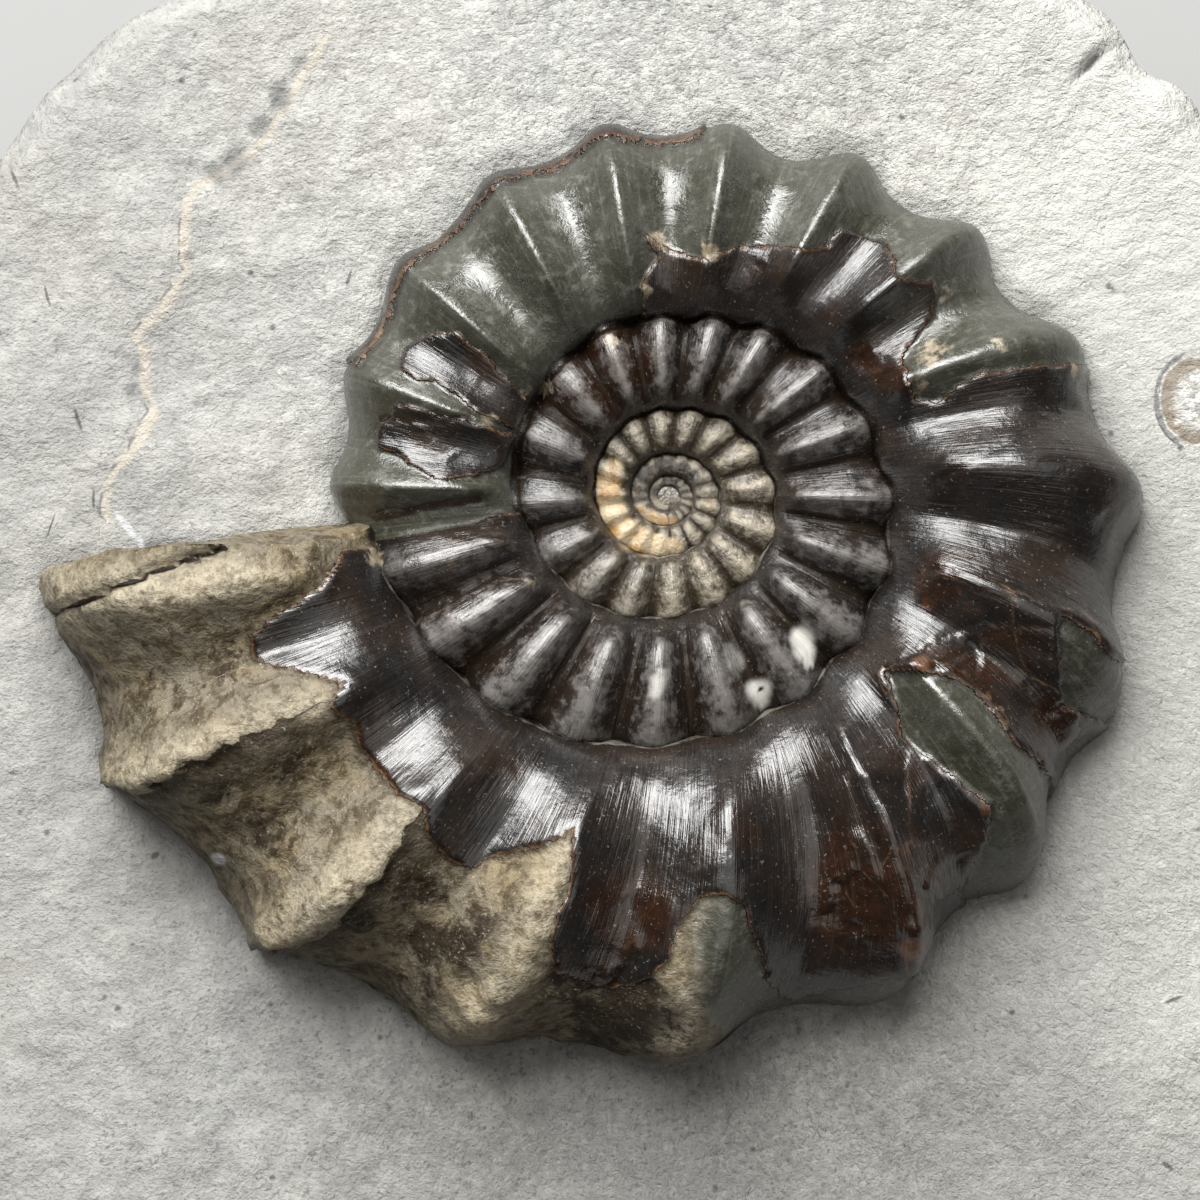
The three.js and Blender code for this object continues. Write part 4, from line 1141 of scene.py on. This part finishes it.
    colour = n.mix(covered, mould, shell_colour)
    shadow = n.math("MULTIPLY", n.ramp(shell, -0.35, -0.02), n.ramp(shell, -0.02, 0.0, 1.0, 0.0))
    colour = n.mix(n.math("MULTIPLY", shadow, 0.6), colour, tuple(colours.dark_brown_dirt_and_shade))
    # Dark filling of the cracks, and painted shadow along the two wide bands under broken shell edges
    colour = n.mix(n.ramp(n.field("crack"), -0.02, 0.05, 1.0, 0.0), colour, tuple(colours.crack_and_shadow_brown))
    # Painted shade along the seams between the turns, lighter on the half of the coil that faces the key lamp and
    # towards the middle
    out_of_seam_shade = n.ramp(n.math("ADD", n.field("seam"), n.math("MULTIPLY", n.math("SUBTRACT", fine, 0.5), 0.4)), 0.1, 0.45)
    out_of_seam_shade = n.math("MAXIMUM", out_of_seam_shade, n.ramp(turn, 14.0, 16.0, 0.0, 0.75))
    colour = n.mix(out_of_seam_shade, tuple(colours.dark_brown_dirt_and_shade), colour)
    dust = n.ramp(tiny, 0.64, 0.74, 0.0, 0.22)
    colour = n.mix(dust, colour, tuple(colours.dust))
    line = n.math("ADD", n.field("crust"), n.math("MULTIPLY", n.math("SUBTRACT", blotch, 0.55), 3.0))
    colour = n.mix(n.ramp(line, 0.3, 1.1, 0.0, 0.8), colour, tuple(colours.crust_grey))
    cream = n.math("ADD", n.field("cream"), n.math("MULTIPLY", n.math("SUBTRACT", fine, 0.5), 1.5))
    cream = n.ramp(cream, 0.4, 0.85)
    crust = n.mix(n.ramp(blotch, 0.4, 0.65), tuple(colours.crust_cream), tuple(colours.chamber_buff))
    colour = n.mix(n.math("MULTIPLY", cream, 0.85), colour, crust)
    white = n.math("ADD", n.field("calcite"), n.math("MULTIPLY", n.math("SUBTRACT", fine, 0.5), 0.16))
    white = n.ramp(white, 0.1, 1.05)
    colour = n.mix(white, colour, tuple(colours.calcite_white))
    colour = n.mix(n.stroke(place, WHITE_CHIP), colour, tuple(colours.stone_white))
    n.set("Base Color", colour)

    polish = n.math("ADD", n.math("MULTIPLY", fine_striae, 0.4), n.math("MULTIPLY", fine, 0.6))
    rough_shell = n.ramp(polish, 0.3, 0.7, 0.15, 0.34)
    rough_shell = n.math("MULTIPLY", rough_shell, n.ramp(redness, 0.2, 1.0, 1.0, 0.75))
    rough_olive = n.ramp(fine, 0.3, 0.7, 0.19, 0.42)
    rough_buff = n.ramp(fine, 0.3, 0.7, 0.38, 0.8)
    rough_mould = n.blend(chamber, rough_olive, rough_buff)
    rough = n.blend(covered, rough_mould, rough_shell)
    soft = n.math("MAXIMUM", n.math("MAXIMUM", cream, white), n.math("MULTIPLY", inner, 0.5))
    rough = n.math("ADD", rough, n.math("MULTIPLY", soft, 0.14))
    n.set("Roughness", n.math("MINIMUM", rough, 0.95))
    n.shader.inputs["Specular IOR Level"].default_value = shine

    step = n.bump(covered, 0.00014, 0.8)
    lines = n.math("MULTIPLY", n.math("ADD", striae, n.math("MULTIPLY", fine_striae, 0.4)), covered)
    ridges = n.bump(lines, 0.00008, 0.8, step)
    bare_chamber = n.math("MULTIPLY", chamber, n.math("SUBTRACT", 1.0, covered))
    grainy = n.math("MULTIPLY", fine, n.ramp(bare_chamber, 0.0, 1.0, 0.42, 2.4))
    grainy = n.math("ADD", grainy, n.math("MULTIPLY", n.math("MULTIPLY", patches, covered), 1.6))
    grainy = n.math("ADD", grainy, n.math("MULTIPLY", n.math("MULTIPLY", speckle, inner), 2.4))
    grainy = n.math("ADD", grainy, n.math("MULTIPLY", n.math("ADD", wall_mark, split), -0.5))
    grainy = n.math("ADD", grainy, n.math("MULTIPLY", tiny, n.ramp(bare_chamber, 0.0, 1.0, 0.15, 0.45)))
    bare = n.math("SUBTRACT", 1.0, covered)
    grainy = n.math("ADD", grainy, n.math("MULTIPLY", blotch, n.math("MULTIPLY", bare, n.ramp(chamber, 0.0, 1.0, 1.3, 3.0))))
    n.set("Normal", n.bump(grainy, 0.0001, 0.85, ridges))
    return n.material


def stone_material(colours):
    """Pale limestone with the fine marks of the preparation tool, specks, a vein and a stained crack, painted paler
    towards the east, with painted shade towards the west and along the fossil's edge.
    """
    n = Nodes("pale_limestone")
    place = n.place()
    scratch = n.field("scratch", vector=True)
    east, north, _ = n.parts(place)
    low_right = n.math("SUBTRACT", n.math("MULTIPLY", east, 0.55), n.math("MULTIPLY", north, 0.85))
    low_right = n.ramp(low_right, -0.012, 0.014)
    streaks = n.noise(n.stretch(scratch, (3.6, 3.6, 1.7)), 1.0, 5.0, 0.75, 0.2)
    slant = n.noise(n.turned(place, -0.3, (1500, 2100, 1800)), 1.0, 4.0, 0.75, 0.2)
    marks = n.blend(low_right, slant, streaks)
    cloud = n.noise(place, 75, 5.0, 0.6)
    mottle = n.noise(place, 560, 6.0, 0.7)
    dust = n.noise(place, 4600, 3.0, 0.7)
    colour = n.mix(n.ramp(cloud, 0.3, 0.7), tuple(colours.stone_warm), tuple(colours.stone_cool))
    colour = n.mix(n.ramp(mottle, 0.42, 0.68, 0.0, 0.6), colour, tuple(colours.stone_pale))
    colour = n.mix(n.ramp(mottle, 0.3, 0.46, 0.35, 0.0), colour, tuple(colours.stone_dark))
    scored = n.ramp(east, -0.022, 0.012, 0.4, 1.0)
    colour = n.mix(n.math("MULTIPLY", n.ramp(marks, 0.53, 0.66, 0.0, 0.5), scored), colour, tuple(colours.stone_dark))
    colour = n.mix(n.math("MULTIPLY", n.ramp(marks, 0.36, 0.5, 0.75, 0.0), scored), colour, tuple(colours.stone_pale))
    colour = n.mix(n.ramp(dust, 0.52, 0.68, 0.0, 0.55), colour, tuple(colours.stone_dark))
    grit = n.math("MULTIPLY", n.ramp(n.noise(place, 2300, 4.0, 0.7), 0.56, 0.68, 0.0, 0.6), n.blend(low_right, 0.5, 1.0))
    colour = n.mix(grit, colour, tuple(colours.vein_grey))
    # Painted light towards the east of the slab's top and painted shade towards the west
    colour = n.mix(n.ramp(east, 0.008, 0.03, 0.0, 0.7), colour, tuple(colours.stone_pale))
    colour = n.mix(n.ramp(east, -0.03, -0.004, 0.4, 0.0), colour, tuple(colours.stone_dark))
    foot = n.math("SUBTRACT", n.math("MULTIPLY", n.math("SUBTRACT", cloud, 0.5), 0.03), north)
    foot = n.math("MULTIPLY", n.ramp(foot, 0.018, 0.033), n.ramp(east, -0.02, -0.004))
    colour = n.mix(n.math("MULTIPLY", foot, 0.5), colour, tuple(colours.stone_dark))
    few = n.ramp(n.noise(place, 300, 2.0), 0.52, 0.6)
    specks = n.math("MULTIPLY", n.ramp(n.cells(place, 620), 0.04, 0.16, 1.0, 0.0), few)
    colour = n.mix(n.math("MULTIPLY", specks, 0.75), colour, tuple(colours.stone_speck))
    beads = n.noise(place, 1500, 3.0, 0.6)
    vein = n.math("ADD", n.field("vein"), n.math("MULTIPLY", n.math("SUBTRACT", beads, 0.5), 0.5))
    pale_line = n.math("MULTIPLY", n.ramp(n.math("ABSOLUTE", vein), 0.12, 0.4, 1.0, 0.0), n.ramp(mottle, 0.3, 0.45))
    colour = n.mix(n.math("MULTIPLY", pale_line, 0.75), colour, tuple(colours.vein_cream))
    bead = n.ramp(n.math("ABSOLUTE", n.math("SUBTRACT", vein, 0.26)), 0.03, 0.14, 1.0, 0.0)
    bead = n.math("MULTIPLY", bead, n.ramp(n.noise(place, 900, 2.0), 0.48, 0.58))
    patch = n.math("ADD", n.field("patch"), n.math("MULTIPLY", n.math("SUBTRACT", mottle, 0.5), 2.4))
    bead = n.math("MAXIMUM", bead, n.ramp(patch, 0.5, 1.5, 0.8, 0.0))
    colour = n.mix(n.math("MULTIPLY", bead, 0.75), colour, tuple(colours.vein_grey))
    wavy = n.shift(place, 1500, 0.00012)
    for rows, ink in ((DARK_STROKES, colours.stone_speck), (PALE_STROKES, colours.stone_white)):
        for row in rows:
            colour = n.mix(n.math("MULTIPLY", n.stroke(wavy, row), 0.75), colour, tuple(ink))
    colour = n.mix(n.stroke(place, WHITE_CHIP), colour, tuple(colours.stone_white))
    split = n.ramp(n.field("crack"), 0.0, 0.22, 1.0, 0.0)
    colour = n.mix(n.math("MULTIPLY", split, 0.85), colour, tuple(colours.stone_speck))
    # Painted shade on the stone along the edge of the fossil
    contact = n.ramp(n.field("contact"), -0.1, 0.7, 1.0, 0.0)
    colour = n.mix(n.math("MULTIPLY", contact, 0.35), colour, tuple(colours.stone_dark))
    n.set("Base Color", colour)
    n.set("Roughness", n.ramp(mottle, 0.3, 0.7, 0.72, 0.92))
    n.shader.inputs["Specular IOR Level"].default_value = 0.35
    coarse = n.bump(n.math("ADD", n.math("MULTIPLY", n.math("MULTIPLY", marks, 1.6), scored), mottle), 0.00034, 0.9)
    fine = n.bump(dust, 0.0001, 0.85, coarse)
    n.set("Normal", n.bump(specks, 0.0001, -0.8, fine))
    return n.material


def small_shell_material(colours):
    """Pale stone filling inside a thin brown rim of shell."""
    n = Nodes("small_shell_rim_and_filling")
    place = n.place()
    mottle = n.noise(place, 700, 5.0, 0.7)
    rim = n.math("ADD", n.field("rim"), n.math("MULTIPLY", n.math("SUBTRACT", n.noise(place, 1500, 4.0, 0.6), 0.5), 0.25))
    filling = n.mix(n.ramp(mottle, 0.35, 0.65, 0.2, 0.75), tuple(colours.stone_warm), tuple(colours.stone_dark))
    brown = n.mix(n.ramp(mottle, 0.3, 0.7), tuple(colours.shell_edge_pale), tuple(colours.chamber_grey))
    marks = n.noise(n.turned(place, -0.3, (1500, 2100, 1800)), 1.0, 4.0, 0.75, 0.2)
    filling = n.mix(n.ramp(marks, 0.4, 0.6), tuple(colours.stone_pale), filling)
    line = n.math("MULTIPLY", n.ramp(rim, 0.02, 0.07), n.ramp(rim, 0.26, 0.42, 1.0, 0.0))
    band = n.math("MULTIPLY", n.ramp(rim, 0.35, 0.5), n.ramp(rim, 0.8, 1.5, 1.0, 0.0))
    colour = n.mix(n.math("MULTIPLY", n.math("MULTIPLY", band, n.ramp(mottle, 0.3, 0.5)), 0.85), filling, brown)
    colour = n.mix(n.math("MULTIPLY", line, 0.8), colour, tuple(colours.vein_grey))
    n.set("Base Color", colour)
    n.set("Roughness", n.ramp(mottle, 0.3, 0.7, 0.55, 0.85))
    n.set("Normal", n.bump(n.math("ADD", marks, mottle), 0.0003, 0.9))
    return n.material


def floor_material(colours):
    """Plain pale studio floor with a trace of unevenness."""
    n = Nodes("studio_floor")
    n.set("Base Color", n.mix(n.noise(n.place(), 9.0, 2.0), tuple(colours.floor_pale), (0.2, 0.2, 0.197)))
    n.set("Roughness", 0.8)
    return n.material


class FossilSizes(bpy.types.PropertyGroup):
    """Sizes of the fossil's surface, in millimetres."""

    shell_thickness: FloatProperty(
        name="Shell thickness", description="How far the kept shell stands above the bare mould, in millimetres",
        default=0.34, min=0.05, max=1.0, unit="NONE",
    )
    growth_lines: FloatProperty(
        name="Growth lines", description="Height of the fine lines that run across the whorls, in millimetres",
        default=0.05, min=0.0, max=0.3, unit="NONE",
    )
    stone_roughness: FloatProperty(
        name="Stone roughness", description="Height of the slab's uneven surface, in millimetres",
        default=0.28, min=0.0, max=1.0, unit="NONE",
    )


def colour_property(name, description, default):
    return FloatVectorProperty(
        name=name, description=description, subtype="COLOR", size=3, min=0.0, max=1.0, default=default,
    )


class FossilColours(bpy.types.PropertyGroup):
    """Colours of the fossil, its mould and the stone."""

    shell_dark: colour_property("Dark shell", "Nearly black shell", (0.005, 0.0042, 0.0038))
    shell_dark_warm: colour_property("Warm dark shell", "Warmer part of the dark shell", (0.0135, 0.0082, 0.0055))
    shell_brown: colour_property("Brown shell", "Chocolate brown shell", (0.0085, 0.0036, 0.0015))
    shell_red: colour_property("Red-brown shell", "Thinner, redder shell", (0.0165, 0.0066, 0.0029))
    # Also painted as a highlight on the rib crests of the inner turns
    shell_growth_line_and_highlight: colour_property("Growth line", "Pale growth lines on the shell", (0.12, 0.11, 0.103))
    shell_amber: colour_property("Amber shell", "Thin amber pieces of the shell", (0.075, 0.027, 0.0075))
    shell_edge: colour_property("Shell edge", "Broken edge of the shell", (0.06, 0.025, 0.01))
    shell_edge_pale: colour_property("Pale shell edge", "Paler parts of that edge", (0.13, 0.08, 0.045))
    # Also painted as shade in the seams, the rib valleys, under broken shell edges and on the upper side of the inner
    # turns
    dark_brown_dirt_and_shade: colour_property("Groove", "Dark dirt left in the grooves", (0.009, 0.0055, 0.0032))
    # Also painted as two shadow bands under broken shell edges
    crack_and_shadow_brown: colour_property("Crack", "Filling of the cracks", (0.012, 0.007, 0.004))
    dust: colour_property("Dust", "Fine pale dust on everything", (0.35, 0.34, 0.31))
    mould_green: colour_property("Mould green", "Grey-green mould of the chambers", (0.0205, 0.0195, 0.012))
    mould_grey: colour_property("Mould grey", "Greyer part of that mould", (0.037, 0.0368, 0.0285))
    mould_pale: colour_property("Mould pale", "Palest specks of that mould", (0.13, 0.13, 0.11))
    mould_dark: colour_property("Mould dark", "Darkest patches of that mould", (0.012, 0.012, 0.008))
    chamber_buff: colour_property("Chamber buff", "Buff mould of the living chamber", (0.132, 0.104, 0.062))
    chamber_grey: colour_property("Chamber grey", "Greyer part of the living chamber", (0.112, 0.097, 0.071))
    chamber_brown: colour_property("Chamber brown", "Brown patches on the living chamber", (0.034, 0.0235, 0.0108))
    # Also painted as shade below the broken ledges
    chamber_stain_and_shade: colour_property("Chamber stain", "Dark stains on the living chamber", (0.013, 0.0085, 0.0048))
    # Pale specks and worn crests, with a painted highlight on the crests and ledge tops
    chamber_crest: colour_property("Chamber crest", "Worn crests of its ribs", (0.33, 0.29, 0.215))
    inner_olive: colour_property("Inner olive", "Olive brown of the inner turns", (0.034, 0.026, 0.0155))
    inner_buff: colour_property("Inner buff", "Buff of the inner turns", (0.225, 0.195, 0.145))
    heart_tan: colour_property("Heart tan", "Golden tan of the middle", (0.26, 0.155, 0.06))
    heart_cream: colour_property("Heart cream", "Cream of the middle", (0.36, 0.29, 0.19))
    crust_cream: colour_property("Cream crust", "Cream crust along seams and breaks", (0.26, 0.215, 0.155))
    crust_grey: colour_property("Grey crust", "Thin grey crust along the seams", (0.16, 0.15, 0.13))
    calcite_white: colour_property("Calcite", "White calcite spots", (0.37, 0.36, 0.335))
    stone_warm: colour_property("Stone warm", "Warm grey limestone", (0.262, 0.255, 0.234))
    stone_cool: colour_property("Stone cool", "Cool grey limestone", (0.243, 0.245, 0.236))
    # Also painted as light towards the east of the slab's top
    stone_pale: colour_property("Stone pale", "Palest limestone", (0.4, 0.396, 0.37))
    # Also painted as shade towards the west of the slab's top and along the fossil's edge
    stone_dark: colour_property("Stone dark", "Darker streaks in the limestone", (0.135, 0.131, 0.124))
    stone_speck: colour_property("Stone speck", "Dark specks in the limestone", (0.035, 0.033, 0.031))
    stone_white: colour_property("Stone white", "White strokes on the limestone", (0.36, 0.37, 0.375))
    vein_grey: colour_property("Vein grey", "Dark stain along the vein", (0.075, 0.075, 0.075))
    vein_cream: colour_property("Vein cream", "Cream filling of the vein", (0.3, 0.272, 0.225))
    floor_pale: colour_property("Floor", "Pale studio floor", (0.22, 0.22, 0.218))


class FOSSIL_OT_ammonite(bpy.types.Operator):
    """Coil the ribbed shell with its broken patches and bare mould"""

    bl_idname = "fossil.make_ammonite"
    bl_label = "Ammonite"

    def execute(self, context):
        piece = build_ammonite(context.scene.fossil_sizes)
        for name, shine in (("glossy_shell_and_mould", 0.75), ("dull_living_chamber", 0.15)):
            piece.data.materials.append(fossil_material(context.scene.fossil_colours, name, shine))
        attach(piece, "root")
        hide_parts("ammonite")
        return {"FINISHED"}


class FOSSIL_OT_slab(bpy.types.Operator):
    """Cut the slab of limestone that the fossil lies in"""

    bl_idname = "fossil.make_slab"
    bl_label = "Limestone slab"

    def execute(self, context):
        piece = build_matrix(context.scene.fossil_sizes)
        piece.data.materials.append(stone_material(context.scene.fossil_colours))
        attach(piece, "root")
        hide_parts("limestone_matrix")
        return {"FINISHED"}


class FOSSIL_OT_small_shell(bpy.types.Operator):
    """Set the second small shell in the slab"""

    bl_idname = "fossil.make_small_shell"
    bl_label = "Small shell"

    def execute(self, context):
        piece = build_small_shell()
        piece.data.materials.append(small_shell_material(context.scene.fossil_colours))
        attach(piece, "root")
        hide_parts("shell_fragment")
        return {"FINISHED"}


def add_light(name, place, target, size, power, colour=(1, 1, 1)):
    """Soft square lamp at a place in millimetres, turned to a target."""
    data = bpy.data.lights.new(name, "AREA")
    data.shape = "SQUARE"
    data.size = size * MM
    data.energy = power
    data.color = colour
    lamp = bpy.data.objects.new(name, data)
    bpy.context.scene.collection.objects.link(lamp)
    lamp.location = Vector(place) * MM
    lamp.rotation_euler = (Vector(target) - Vector(place)).to_track_quat("-Z", "Y").to_euler()
    return lamp


class FOSSIL_OT_stage(bpy.types.Operator):
    """Lay the floor, hang the lamps and stand the camera over the slab"""

    bl_idname = "fossil.make_stage"
    bl_label = "Floor, lamps and camera"

    def execute(self, context):
        scene = context.scene
        size = 1500.0
        floor = add_mesh(
            "studio_floor",
            np.array([[-size, -size, -0.02], [size, -size, -0.02], [size, size, -0.02], [-size, size, -0.02]]),
            [np.array([0, 1, 2, 3])], {},
        )
        floor.data.materials.append(floor_material(scene.fossil_colours))

        world = bpy.data.worlds.new("soft_room")
        scene.world = world
        world.use_nodes = True
        world.node_tree.nodes["Background"].inputs[0].default_value = (1.0, 0.98, 0.95, 1.0)
        world.node_tree.nodes["Background"].inputs[1].default_value = 0.055
        scene.view_settings.view_transform = "Standard"
        add_light("key_lamp", (-95, 310, 330), (0, 0, 20), 425, 9.4, (1.0, 1.0, 0.99))
        add_light("sky_lamp", (110, -20, 620), (0, 0, 20), 900, 2.5, (1.0, 0.98, 0.94))

        data = bpy.data.cameras.new("camera")
        camera = bpy.data.objects.new("camera", data)
        scene.collection.objects.link(camera)
        distance, width = 450.0, 61.8
        target = Vector((0.0, 0.0, 20.0))
        lean = math.radians(1.0)
        camera.location = (target + Vector((0, -math.sin(lean), math.cos(lean))) * distance) * MM
        camera.rotation_euler = (lean, 0, 0)
        data.sensor_fit = "HORIZONTAL"
        data.sensor_width = 36.0
        data.lens = 36.0 * distance / width
        data.clip_start = 0.01
        data.clip_end = 20.0
        scene.camera = camera
        return {"FINISHED"}


class FOSSIL_PT_panel(bpy.types.Panel):
    """Lists the steps that build the fossil, with its sizes and colours"""

    bl_label = "Fossil Ammonite"
    bl_idname = "FOSSIL_PT_panel"
    bl_space_type = "VIEW_3D"
    bl_region_type = "UI"
    bl_category = "Fossil"

    def draw(self, context):
        for step in STEPS:
            self.layout.operator(step.bl_idname)
        for group in (context.scene.fossil_sizes, context.scene.fossil_colours):
            box = self.layout.box()
            for key in group.bl_rna.properties.keys():
                if key not in {"rna_type", "name"}:
                    box.prop(group, key)


STEPS = (FOSSIL_OT_ammonite, FOSSIL_OT_slab, FOSSIL_OT_small_shell, FOSSIL_OT_stage)
CLASSES = (FossilSizes, FossilColours, *STEPS, FOSSIL_PT_panel)


def register():
    """Add the classes and the scene's fossil settings."""
    for cls in CLASSES:
        bpy.utils.register_class(cls)
    bpy.types.Scene.fossil_sizes = PointerProperty(type=FossilSizes)
    bpy.types.Scene.fossil_colours = PointerProperty(type=FossilColours)


def unregister():
    """Take them away again."""
    del bpy.types.Scene.fossil_colours
    del bpy.types.Scene.fossil_sizes
    for cls in reversed(CLASSES):
        bpy.utils.unregister_class(cls)


def main():
    """Build everything in order."""
    register()
    bpy.ops.fossil.make_ammonite()
    bpy.ops.fossil.make_slab()
    bpy.ops.fossil.make_small_shell()
    bpy.ops.fossil.make_stage()
    bpy.context.view_layer.update()


if __name__ == "__main__":
    main()
